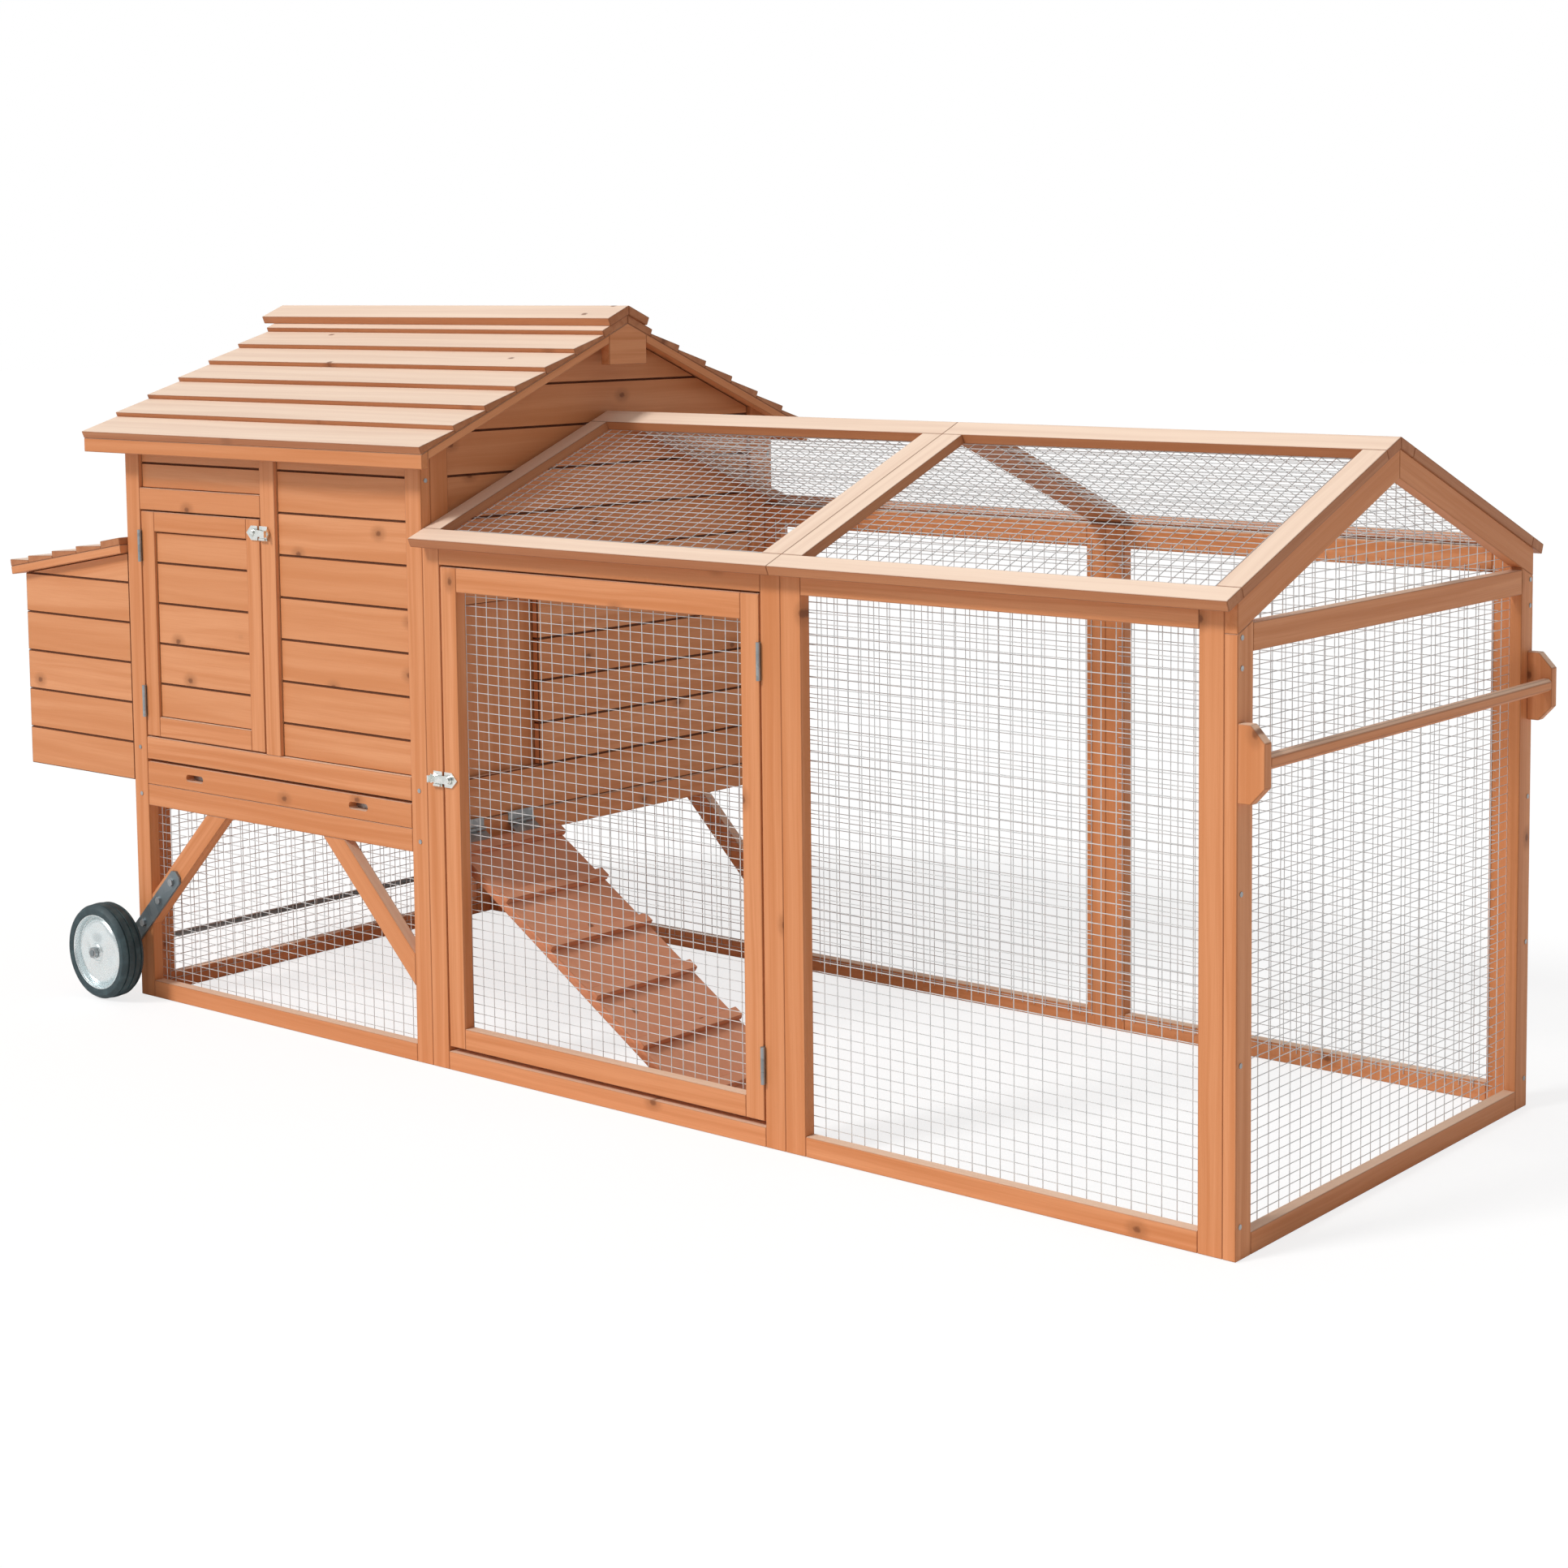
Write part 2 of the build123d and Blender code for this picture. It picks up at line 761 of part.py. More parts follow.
def door_hinge(x_gap_side, side, z, moving):
    """A hinge in the gap beside a door; side is +1 where the fixed post lies toward +X."""
    x = x_gap_side + side * door_gap / 2
    y = y_front - knuckle_r - knuckle_gap
    half_gap = door_gap / 2
    offset_from_axis = -half_gap if (side > 0) != moving else half_gap - leaf_t
    leaf = hinge_leaf(moving, offset_from_axis, leaf_w + knuckle_r)
    return Pos(x, y, z) * Rot(0, 0, 90) * leaf


def door_hinges(moving, which):
    if which == "house":
        return [door_hinge(x_post_l + door_gap, -1, z, moving) for z in house_hinge_heights]
    return [door_hinge(x_seam - stile_w - door_gap, 1, z, moving) for z in run_hinge_heights]


def lid_hinge_place():
    """Centre of the lid's hinge pins, above the lid's upper edge."""
    x = x_house - knuckle_r - knuckle_seat
    above = lid_rail_t + slat_t + knuckle_r + knuckle_seat
    along = (x - lid_point(0, above)[0]) / cos(radians(lid_slope))
    return x, lid_point(along, above)[1]


def lid_hinges(moving):
    x, z = lid_hinge_place()
    pieces = []
    for y in lid_hinge_ys:
        if moving:
            angle = radians(lid_slope)
            plane = Plane(origin=(x, y, z), x_dir=(-cos(angle), 0, -sin(angle)), z_dir=(0, -1, 0))
            pieces.append(plane * hinge_leaf(True, leaf_offset, leaf_w + 12))
        else:
            plane = Plane(origin=(x, y, z), x_dir=(0, 0, 1), z_dir=(0, -1, 0))
            pieces.append(plane * hinge_leaf(False, -(x_house - x), leaf_w + 6))
    return pieces


def ramp_hinges(moving):
    x, z = ramp_hinge_place()
    y_mid = y_front + ramp_front_gap + ramp_w / 2
    pieces = []
    for y in (y_mid - ramp_w / 4, y_mid + ramp_w / 4):
        if moving:
            angle = radians(ramp_slope)
            plane = Plane(origin=(x, y, z), x_dir=(cos(angle), 0, -sin(angle)), z_dir=(0, 1, 0))
            pieces.append(plane * hinge_leaf(True, leaf_offset, ramp_lead + cleat_first - 1))
        else:
            plane = Plane(origin=(x, y, z), x_dir=(0, 0, 1), z_dir=(0, 1, 0))
            pieces.append(plane * hinge_leaf(False, -(x - x_run), leaf_w + 2))
    return pieces


def fixed_hinge_leaves():
    doors = door_hinges(False, "house") + door_hinges(False, "run")
    return doors + lid_hinges(False) + ramp_hinges(False)


def framed_door(x0, x1, z0, z1, side_w, foot_h, top_h):
    """Four members of a door."""
    return [
        block(x0, x0 + side_w, y_front, y_inner, z0, z1),
        block(x1 - side_w, x1, y_front, y_inner, z0, z1),
        block(x0 + side_w, x1 - side_w, y_front, y_inner, z0, z0 + foot_h),
        block(x0 + side_w, x1 - side_w, y_front, y_inner, z1 - top_h, z1),
    ]


def house_door_place():
    return x_post_l + door_gap, x_mullion - door_gap, sill_top + door_gap, door_head_z - door_gap


def house_door_frame():
    return framed_door(*house_door_place(), house_door_stile, house_door_rail, house_door_rail)


def house_door_panel():
    x0, x1, z0, z1 = house_door_place()
    y0 = y_front + door_board_inset
    y1 = y0 + door_board_t
    x0 += house_door_stile
    x1 -= house_door_stile
    spans = board_spans(z0 + house_door_rail, z1 - house_door_rail, house_door_groove_z)
    return [block(x0, x1, y0, y1, low, high) for low, high in spans]


def run_door_place():
    x0 = x_run + stile_w + door_gap
    x1 = x_seam - stile_w - door_gap
    return x0, x1, foot_rail_h + run_door_foot_gap, run_wall_top - stile_w - door_gap


def run_door_frame():
    return framed_door(*run_door_place(), run_door_stile, run_door_foot_h, run_door_top_h)


def run_door_mesh():
    x0, x1, z0, z1 = run_door_place()
    x0 += run_door_stile - mesh_lap
    x1 -= run_door_stile - mesh_lap
    z0 += run_door_foot_h - mesh_lap
    z1 -= run_door_top_h - mesh_lap
    return [wall_sheet(x0, x1, z0, z1, y_inner)]


def facing(x, z, toward):
    """A plane on the front face, its x axis toward the post that the latch holds."""
    return Plane(origin=(x, y_front, z), x_dir=(toward, 0, 0), z_dir=(0, -1, 0))


def latch_plate(x, z, toward):
    """The door's half of a latch: a pointed plate with a stud."""
    face = make_face(Polyline((-17, 0), (-6, 11), (9, 11), (9, -11), (-6, -11), close=True))
    plate = extrude(face, amount=latch_plate_t)
    stud_h = latch_plate_t + latch_gap + latch_lever_t
    stud = Pos(0, 0, stud_h / 2) * Cylinder(latch_stud_r, stud_h)
    cap = Pos(0, 0, stud_h + 0.2 + 1) * Cylinder(latch_stud_r + 2, 2)
    neck = Pos(0, 0, stud_h + 0.1) * Cylinder(latch_stud_r, 0.2)
    return facing(x, z, toward) * (plate + stud + neck + cap)


def latch_lever(x, z, toward):
    """The turning half of a latch: a tapered arm with a rounded tip and a thumb tab."""
    half = latch_lever_w / 2
    arm = make_face(Polyline((0, half), (26, 4), (34, 7), (38, 0), (34, -7), (26, -4), (0, -half), close=True))
    lever = extrude(arm + Circle(half), amount=latch_lever_t)
    lever -= Pos(0, 0, latch_lever_t / 2) * Cylinder(latch_stud_r + latch_stud_clear, latch_lever_t + 2)
    tab = Pos(34, 0, latch_lever_t + 3) * Box(3, 10, 6)
    return facing(x, z, toward) * Pos(0, 0, latch_plate_t + latch_gap) * (lever + tab)


def latch_keeper(x, z, toward):
    """The post's half of a latch: a plate with two raised cheeks, open to the front."""
    start = 9 + door_gap + 2
    base = Pos(start + 9, 0, latch_plate_t / 2) * Box(18, 22, latch_plate_t)
    cheek_h = latch_plate_t + latch_gap + latch_lever_t
    cheek = Pos(start + 9, -toward * (7 + latch_gap + 1.5), cheek_h / 2) * Box(14, 3, cheek_h)
    return facing(x, z, toward) * (base + cheek)


def house_latch_at():
    return house_door_place()[1] - 11, house_latch_z, 1


def run_latch_at():
    return run_door_place()[0] + 11, run_latch_z, -1


def latch_keepers():
    return [latch_keeper(*house_latch_at()), latch_keeper(*run_latch_at())]


def wheel_pieces():
    """Tyre and disc of the front wheel, turned about a Y axis."""
    y_in = y_front - wheel_out
    y_out = y_in - wheel_w
    y_mid = (y_in + y_out) / 2
    half = wheel_w / 2
    crown = 7
    plane = Plane(origin=(x_axle, y_mid, z_axle), x_dir=(1, 0, 0), z_dir=(0, 1, 0))
    tyre_profile = Plane.XZ * make_face(Polyline(
        (rim_r, -half),
        (wheel_r - crown, -half),
        (wheel_r - 1.5, -half + crown),
        (wheel_r, 0),
        (wheel_r - 1.5, half - crown),
        (wheel_r - crown, half),
        (rim_r, half),
        close=True,
    ))
    bore = axle_r + axle_clear
    web = -half + disc_dish
    disc_profile = Plane.XZ * make_face(Polyline(
        (bore, -half),
        (hub_r, -half),
        (hub_r, web - disc_dish / 2),
        (rim_r - 14, web - disc_dish / 2),
        (rim_r - rim_t, web + 4),
        (rim_r - rim_t, -half + 3),
        (rim_r, -half + 3),
        (rim_r, half - 3),
        (rim_r - rim_t, half - 3),
        (rim_r - rim_t, web + 4 + disc_t),
        (rim_r - 14, web - disc_dish / 2 + disc_t),
        (hub_r, web - disc_dish / 2 + disc_t),
        (hub_r, half + hub_inner_out),
        (bore, half + hub_inner_out),
        close=True,
    ))
    tyre = revolve(tyre_profile, Axis.Z)
    disc = revolve(disc_profile, Axis.Z)
    rib_len = rim_r - 14 - hub_r - 8
    rib = Pos(hub_r + 4 + rib_len / 2, 0, web - disc_dish / 2 - 1) * Box(rib_len, 7, 2)
    for i in range(spoke_count):
        disc += Rot(0, 0, i * 360 / spoke_count) * rib
    return plane * tyre, plane * disc


def strut():
    """A flat bar from the axle up over the leg and the brace."""
    half = strut_w / 2
    outline = make_face(Polyline(
        (0, -half),
        (strut_len - strut_clip, -half),
        (strut_len, -half + strut_clip),
        (strut_len, half - strut_clip),
        (strut_len - strut_clip, half),
        (0, half),
        close=True,
    ))
    bar = extrude(outline + Circle(half) - Circle(axle_r + 0.1), amount=strut_t)
    return strut_plane() * bar


def strut_plane():
    angle = radians(brace_angle)
    return Plane(origin=(x_axle, y_front, z_axle), x_dir=(cos(angle), 0, sin(angle)), z_dir=(0, -1, 0))


def strut_bolts():
    heads = []
    for place in strut_bolt_places:
        head = Pos(place, 0, strut_t) * extrude(RegularPolygon(6, 6), amount=4)
        heads.append(strut_plane() * head)
    return both_sides(heads)


def axle_end():
    """How far the wheel's outer side lies from the middle."""
    return depth / 2 + wheel_out + wheel_w


def axle():
    reach = axle_end() + 7
    return [rod_y(x_axle, z_axle, axle_r, -reach, reach)]


def axle_fittings():
    """A nut outside each wheel and a spacer between each wheel and its strut."""
    y_nut = -axle_end() - 0.3
    nut_plane = Plane(origin=(x_axle, y_nut, z_axle), x_dir=(1, 0, 0), z_dir=(0, -1, 0))
    nut = nut_plane * (extrude(RegularPolygon(9, 6) - Circle(axle_r + 0.05), amount=6))
    y_strut = y_front - strut_t
    y_hub = y_front - wheel_out + hub_inner_out
    y0 = y_hub + 0.3
    spacer = rod_y(x_axle, z_axle, 9, y0, y_strut - 0.1) - rod_y(x_axle, z_axle, axle_r + 0.05, y0 - 1, y_strut)
    return both_sides([nut, spacer])


def run_front_frames():
    head = run_wall_top - stile_w
    return wall_frame(x_run, x_seam, run_wall_top, head) + wall_frame(x_seam, x_end, run_wall_top, head)


def run_back_frames():
    return [to_back(piece) for piece in run_front_frames()]


def run_door_stops():
    """Rebated strips behind the gap round the run's door."""
    x0, x1, z0, z1 = run_door_place()
    left, right = x_run + stile_w, x_seam - stile_w
    foot, head = foot_rail_h, run_wall_top - stile_w
    over_l, over_r = x0 + stop_lap, x1 - stop_lap
    y0, y1 = y_inner + stop_rebate, y_inner + stop_t
    seat = stop_seat
    return [
        block(left - seat, left, y_inner, y1, foot - seat, head + seat)
        + block(left, over_l, y0, y1, foot - seat, head + seat),
        block(right, right + seat, y_inner, y1, foot - seat, head + seat)
        + block(over_r, right, y0, y1, foot - seat, head + seat),
        block(over_l, over_r, y_inner, y1, foot - seat, foot)
        + block(over_l, over_r, y0, y1, foot, z0 + stop_lap),
        block(over_l, over_r, y_inner, y1, head, head + seat)
        + block(over_l, over_r, y0, y1, z1 - stop_lap, head),
    ]


def run_under(y):
    """Height of the underside of the run's roof frames."""
    return run_wall_top + (abs(y_front) - abs(y)) * run_tan


def run_end_frame():
    drop = stile_w / cos(radians(run_slope))
    y_in = y_front + stile_w
    stile = [
        (y_front, 0),
        (y_in, 0),
        (y_in, run_under(y_in) - drop),
        (y_front, run_under(y_front) - drop),
    ]
    rafter = [
        (y_front, run_under(y_front) - drop),
        (0, run_under(0) - drop),
        (0, run_under(0)),
        (y_front, run_under(y_front)),
    ]
    sides = both_sides([along_x(x_end, x_face, stile), along_x(x_end, x_face, rafter)])
    foot = block(x_end, x_face, y_in, -y_in, 0, foot_rail_h)
    bar = block(x_end, x_face, y_in, -y_in, crossbar_z0, crossbar_z1)
    return sides + [foot, bar]


def run_roof_bays():
    return (x_run, x_seam), (x_seam, x_face + run_roof_end_out)


def roof_plane():
    """The underside of the run roof's front slope: x along the coop, y up the slope."""
    angle = radians(run_slope)
    y0 = y_front - run_eave_out
    origin = (0, y0, run_wall_top - run_eave_out * run_tan)
    return Plane(origin=origin, x_dir=(1, 0, 0), z_dir=(0, -sin(angle), cos(angle)))


def run_slope_len():
    return (depth / 2 + run_eave_out) / cos(radians(run_slope))


def run_roof_front():
    """Four members of each front roof frame, the upper one cut plumb at the ridge."""
    angle = radians(run_slope)
    length = run_slope_len()
    plumb = run_roof_t * tan(angle)
    plane = roof_plane()
    pieces = []
    for x0, x1 in run_roof_bays():
        low = block(x0, x1, 0, stile_w, 0, run_roof_t)
        ridge = along_x(x0, x1, [
            (length - stile_w, 0),
            (length, 0),
            (length + plumb, run_roof_t),
            (length - stile_w, run_roof_t),
        ])
        left = block(x0, x0 + stile_w, stile_w, length - stile_w, 0, run_roof_t)
        right = block(x1 - stile_w, x1, stile_w, length - stile_w, 0, run_roof_t)
        pieces += [plane * piece for piece in (low, ridge, left, right)]
    return pieces


def run_roof_back():
    return [to_back(piece) for piece in run_roof_front()]


def run_roof_mesh():
    length = run_slope_len()
    sheets = []
    inset = stile_w - roof_mesh_lap
    plane = roof_plane()
    under = Plane(origin=plane.origin - plane.z_dir * wire_t, x_dir=plane.x_dir, z_dir=plane.z_dir)
    for x0, x1 in run_roof_bays():
        outline = [
            (x0 + inset, inset),
            (x1 - inset, inset),
            (x1 - inset, length - inset),
            (x0 + inset, length - inset),
        ]
        sheets.append(mesh_sheet(outline, under))
    return both_sides(sheets)


def run_wall_mesh():
    z0 = foot_rail_h - mesh_lap
    z1 = run_wall_top - stile_w + mesh_lap
    inset = stile_w - mesh_lap
    front = wall_sheet(x_seam + inset, x_end - inset, z0, z1, y_inner)
    back = [to_back(front), to_back(wall_sheet(x_run + inset, x_seam - inset, z0, z1, y_inner))]
    y0 = y_front + inset
    x = x_end - wire_t
    low = end_sheet([(y0, z0), (-y0, z0), (-y0, crossbar_z0 + mesh_lap), (y0, crossbar_z0 + mesh_lap)], x)
    drop = (stile_w - mesh_lap) / cos(radians(run_slope))
    base = crossbar_z1 - mesh_lap
    gable = end_sheet([
        (y0, base),
        (-y0, base),
        (-y0, run_under(y0) - drop),
        (0, run_under(0) - drop),
        (y0, run_under(y0) - drop),
    ], x)
    return [front, low, gable] + back


def handle_brackets():
    z1 = bracket_z + bracket_h
    outline = [
        (x_face, bracket_z),
        (x_handle - bracket_clip_x, bracket_z),
        (x_handle, bracket_z + bracket_clip_z),
        (x_handle, z1 - bracket_clip_z),
        (x_handle - bracket_clip_x, z1),
        (x_face, z1),
    ]
    return both_sides([along_y(y_front, y_front + bracket_t, outline)])


def handle_bar():
    y0 = y_front + bracket_t
    bar = block(x_handle - bar_d, x_handle, y0, -y0, bar_z, bar_z + bar_h)
    return [chamfer(bar.edges().filter_by(Axis.Y), bar_chamfer)]


def screw_head(x, y, z, outward):
    """A screw head on a face that looks along outward."""
    return Plane(origin=(x, y, z), z_dir=outward) * extrude(Circle(screw_r), amount=screw_h)


def screws():
    """Screw heads on the corner posts and the stiles of the run's end."""
    y_edge = y_front + frame_t / 2
    end_heights = list(end_screw_heights) + [run_wall_top - drop for drop in end_screw_drops]
    heads = [screw_head(x_face, y_edge, z, (1, 0, 0)) for z in end_heights]
    heads += [screw_head(x_run, y_edge, house_wall_top - drop, (1, 0, 0)) for drop in post_screw_drops]
    for x in (x_house + stile_w / 2, x_run - stile_w / 2):
        for z in (low_rail_z + stile_w / 2, sill_z + stile_w / 2):
            heads.append(screw_head(x, y_front, z, (0, -1, 0)))
    return both_sides(heads)


def build():
    tyre, disc = wheel_pieces()
    return {
        "house_front_frame": house_front_frame(),
        "house_back_frame": house_back_frame(),
        "house_end_frames": house_end_frames(),
        "house_front_siding": house_front_siding(),
        "house_back_siding": house_back_siding(),
        "left_end_siding": left_end_siding(),
        "right_gable_siding": right_gable_siding(),
        "house_floor": house_floor(),
        "tray_runners": tray_runners(),
        "perches": perches(),
        "roof_rafters": roof_rafters(),
        "roof_slats_front": roof_slats(),
        "roof_slats_back": [to_back(slat) for slat in roof_slats()],
        "ridge_cap": ridge_cap(),
        "eave_and_gable_boards": eave_and_gable_boards(),
        "underframe_braces": underframe_braces(),
        "underframe_mesh": underframe_mesh(),
        "nest_walls": nest_walls(),
        "nest_floor": nest_floor(),
        "nest_divider": nest_divider(),
        "nest_lid_rails": nest_lid_rails(),
        "nest_lid_slats": nest_lid_slats(),
        "nest_lid_hinge_leaves": lid_hinges(True),
        "pop_door_guides": pop_door_guides(),
        "pop_door_panel": pop_door_panel(),
        "ramp_board": ramp_board(),
        "ramp_cleats": ramp_cleats(),
        "ramp_hinge_leaves": ramp_hinges(True),
        "tray_front": tray_front(),
        "tray_pan": tray_pan(),
        "fixed_hinge_leaves": fixed_hinge_leaves(),
        "latch_keepers": latch_keepers(),
        "house_door_frame": house_door_frame(),
        "house_door_panel": house_door_panel(),
        "house_door_hinge_leaves": door_hinges(True, "house"),
        "house_latch_plate": [latch_plate(*house_latch_at())],
        "house_latch_lever": [latch_lever(*house_latch_at())],
        "run_door_frame": run_door_frame(),
        "run_door_mesh": run_door_mesh(),
        "run_door_hinge_leaves": door_hinges(True, "run"),
        "run_latch_plate": [latch_plate(*run_latch_at())],
        "run_latch_lever": [latch_lever(*run_latch_at())],
        "axle": axle(),
        "wheel_struts": both_sides([strut()]),
        "strut_bolts": strut_bolts(),
        "axle_fittings": axle_fittings(),
        "tyre_front": [tyre],
        "tyre_back": [to_back(tyre)],
        "wheel_disc_front": [disc],
        "wheel_disc_back": [to_back(disc)],
        "run_front_frames": run_front_frames() + run_door_stops(),
        "run_back_frames": run_back_frames(),
        "run_end_frame": run_end_frame(),
        "run_roof_front": run_roof_front(),
        "run_roof_back": run_roof_back(),
        "run_wall_mesh": run_wall_mesh(),
        "run_roof_mesh": run_roof_mesh(),
        "handle_brackets": handle_brackets(),
        "handle_bar": handle_bar(),
        "screws": screws(),
    }


os.makedirs("parts", exist_ok=True)
for node, pieces in build().items():
    save(node, pieces)
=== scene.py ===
# %% [markdown]
# # A mobile chicken coop in stained softwood
# The coop is a raised hen house on two wheels with a nest box at one end and a long wire run at the
# other. The solid model gives every board its place. This script dresses the boards with rounded
# edges, grain and knots, weaves the real wire mesh, and finishes the wheels and fittings.

import json
import math
import random

import bmesh
import bpy
from mathutils import Matrix, Vector


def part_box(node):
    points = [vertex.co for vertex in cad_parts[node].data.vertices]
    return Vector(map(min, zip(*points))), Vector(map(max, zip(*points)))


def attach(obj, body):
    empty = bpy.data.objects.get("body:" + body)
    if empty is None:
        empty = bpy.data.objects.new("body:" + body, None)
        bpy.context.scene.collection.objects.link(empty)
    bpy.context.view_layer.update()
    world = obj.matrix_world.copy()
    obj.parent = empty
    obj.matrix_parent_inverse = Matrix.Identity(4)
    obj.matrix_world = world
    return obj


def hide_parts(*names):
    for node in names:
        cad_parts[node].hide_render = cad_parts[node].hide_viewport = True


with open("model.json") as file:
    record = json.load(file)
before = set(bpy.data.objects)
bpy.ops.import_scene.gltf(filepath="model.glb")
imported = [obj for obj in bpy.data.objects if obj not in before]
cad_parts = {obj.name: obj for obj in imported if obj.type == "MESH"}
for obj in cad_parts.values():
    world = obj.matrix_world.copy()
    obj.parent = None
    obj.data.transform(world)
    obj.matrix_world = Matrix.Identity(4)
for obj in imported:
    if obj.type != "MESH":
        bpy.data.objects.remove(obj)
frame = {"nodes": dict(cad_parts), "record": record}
nodes = frame["nodes"]
body_of_node = {n: b for b, ns in frame["record"]["behaviour"]["bodies"].items() for n in ns}
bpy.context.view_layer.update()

# %% [markdown]
# ## The camera
# A straight-edged object gives its own camera: its long, short and upright edges meet at three
# vanishing points. The values below come from solving those edges, so the lens is level to within
# a few degrees and the picture is shifted, as it is when a photograph has been cropped.

# %% Camera at the photograph's angle
FRAME_SIZE = 1932
FOCAL = 3393.4
AXIS_X, AXIS_Y = 1155.8, 652.0
CAMERA_PLACE = Vector((2.7647, -3.0309, 1.1278))
SENSOR_WIDTH = 36
CLIP_END = 60
YAW, PITCH, ROLL = -0.6556, -0.0895, -0.0058


def camera_axes(yaw, pitch, roll):
    """The camera's right, up and forward directions."""
    forward = Vector((math.sin(yaw) * math.cos(pitch), math.cos(yaw) * math.cos(pitch), math.sin(pitch)))
    right = forward.cross(Vector((0, 0, 1))).normalized()
    up = right.cross(forward)
    return (
        right * math.cos(roll) + up * math.sin(roll),
        -right * math.sin(roll) + up * math.cos(roll),
        forward,
    )


right, up, forward = camera_axes(YAW, PITCH, ROLL)
camera_data = bpy.data.cameras.new("camera")
camera = bpy.data.objects.new("camera", camera_data)
bpy.context.scene.collection.objects.link(camera)
camera.matrix_world = Matrix.Translation(CAMERA_PLACE) @ Matrix((right, up, -forward)).transposed().to_4x4()
camera_data.sensor_width = SENSOR_WIDTH
camera_data.lens = FOCAL / FRAME_SIZE * camera_data.sensor_width
camera_data.shift_x = 0.5 - AXIS_X / FRAME_SIZE
camera_data.shift_y = AXIS_Y / FRAME_SIZE - 0.5
camera_data.clip_end = CLIP_END
bpy.context.scene.camera = camera
print("lens", round(camera_data.lens, 1), "mm")

# %% [markdown]
# ## Light and floor
# The photograph is a cut-out on white: its tops are pale, its front is evenly lit and the end that
# faces right is darker. A white world gives the soft light, one broad sun from the upper left adds
# the difference between the sides, and the floor stays white while it keeps a soft shadow.

# %% World, lamps and floor
scene = bpy.context.scene
scene.view_settings.view_transform = "Standard"
WORLD_LIGHT = 0.52
WORLD_LIGHT_RIGHT = 0.34
WORLD_FADE_END = 0.8            # share of the way to +X at which the light has faded
WHITE = (1, 1, 1, 1)
SUN_DIRECTION = (0.35, 0.75, -0.78)
SUN_STRENGTH = 2.0
SUN_ANGLE = 14                  # degrees across, which softens its shadows
FLOOR_SIZE = 30
FLOOR_DROP = 0.0005             # below the foot rails
FLOOR_GREY = (0.95, 0.95, 0.95, 1)
FLOOR_GLOW = 1.07
FLOOR_GLOW_SHARE = 0.72         # the rest of what the camera sees is lit, and keeps the shadow


def light_world():
    """White for the camera, and a soft light that fades towards +X for everything else."""
    world = bpy.data.worlds.new("studio")
    world.use_nodes = True
    tree = world.node_tree
    tree.nodes.clear()
    soft = tree.nodes.new("ShaderNodeBackground")
    soft.inputs["Color"].default_value = WHITE
    direction = tree.nodes.new("ShaderNodeSeparateXYZ")
    tree.links.new(tree.nodes.new("ShaderNodeTexCoord").outputs["Generated"], direction.inputs[0])
    falloff = tree.nodes.new("ShaderNodeMapRange")
    falloff.inputs["From Min"].default_value = 0
    falloff.inputs["From Max"].default_value = WORLD_FADE_END
    falloff.inputs["To Min"].default_value = WORLD_LIGHT
    falloff.inputs["To Max"].default_value = WORLD_LIGHT_RIGHT
    tree.links.new(direction.outputs["X"], falloff.inputs["Value"])
    tree.links.new(falloff.outputs["Result"], soft.inputs["Strength"])
    white = tree.nodes.new("ShaderNodeBackground")
    white.inputs["Color"].default_value = WHITE
    white.inputs["Strength"].default_value = 1
    path = tree.nodes.new("ShaderNodeLightPath")
    mix = tree.nodes.new("ShaderNodeMixShader")
    tree.links.new(path.outputs["Is Camera Ray"], mix.inputs[0])
    tree.links.new(soft.outputs[0], mix.inputs[1])
    tree.links.new(white.outputs[0], mix.inputs[2])
    out = tree.nodes.new("ShaderNodeOutputWorld")
    tree.links.new(mix.outputs[0], out.inputs["Surface"])
    scene.world = world


def add_sun(name, direction, strength, angle):
    """A sun whose light travels along direction."""
    data = bpy.data.lights.new(name, "SUN")
    data.energy = strength
    data.angle = math.radians(angle)
    lamp = bpy.data.objects.new(name, data)
    lamp.rotation_mode = "QUATERNION"
    lamp.rotation_quaternion = Vector(direction).to_track_quat("-Z", "Y")
    scene.collection.objects.link(lamp)


def add_floor():
    """A white floor that partly glows, so that only the soft shadow shows on it."""
    bm = bmesh.new()
    bmesh.ops.create_grid(bm, x_segments=1, y_segments=1, size=FLOOR_SIZE)
    bmesh.ops.translate(bm, verts=bm.verts, vec=(0, 0, -FLOOR_DROP))
    mesh = bpy.data.meshes.new("floor")
    bm.to_mesh(mesh)
    bm.free()
    floor = bpy.data.objects.new("floor", mesh)
    scene.collection.objects.link(floor)
    material = bpy.data.materials.new("white_floor")
    material.use_nodes = True
    tree = material.node_tree
    tree.nodes.clear()
    lit = tree.nodes.new("ShaderNodeBsdfDiffuse")
    lit.inputs["Color"].default_value = FLOOR_GREY
    glow = tree.nodes.new("ShaderNodeEmission")
    glow.inputs["Color"].default_value = WHITE
    glow.inputs["Strength"].default_value = FLOOR_GLOW
    path = tree.nodes.new("ShaderNodeLightPath")
    share = tree.nodes.new("ShaderNodeMath")
    share.operation = "MULTIPLY"
    share.inputs[1].default_value = FLOOR_GLOW_SHARE
    tree.links.new(path.outputs["Is Camera Ray"], share.inputs[0])
    mix = tree.nodes.new("ShaderNodeMixShader")
    tree.links.new(share.outputs[0], mix.inputs[0])
    tree.links.new(lit.outputs[0], mix.inputs[1])
    tree.links.new(glow.outputs[0], mix.inputs[2])
    out = tree.nodes.new("ShaderNodeOutputMaterial")
    tree.links.new(mix.outputs[0], out.inputs["Surface"])
    mesh.materials.append(material)


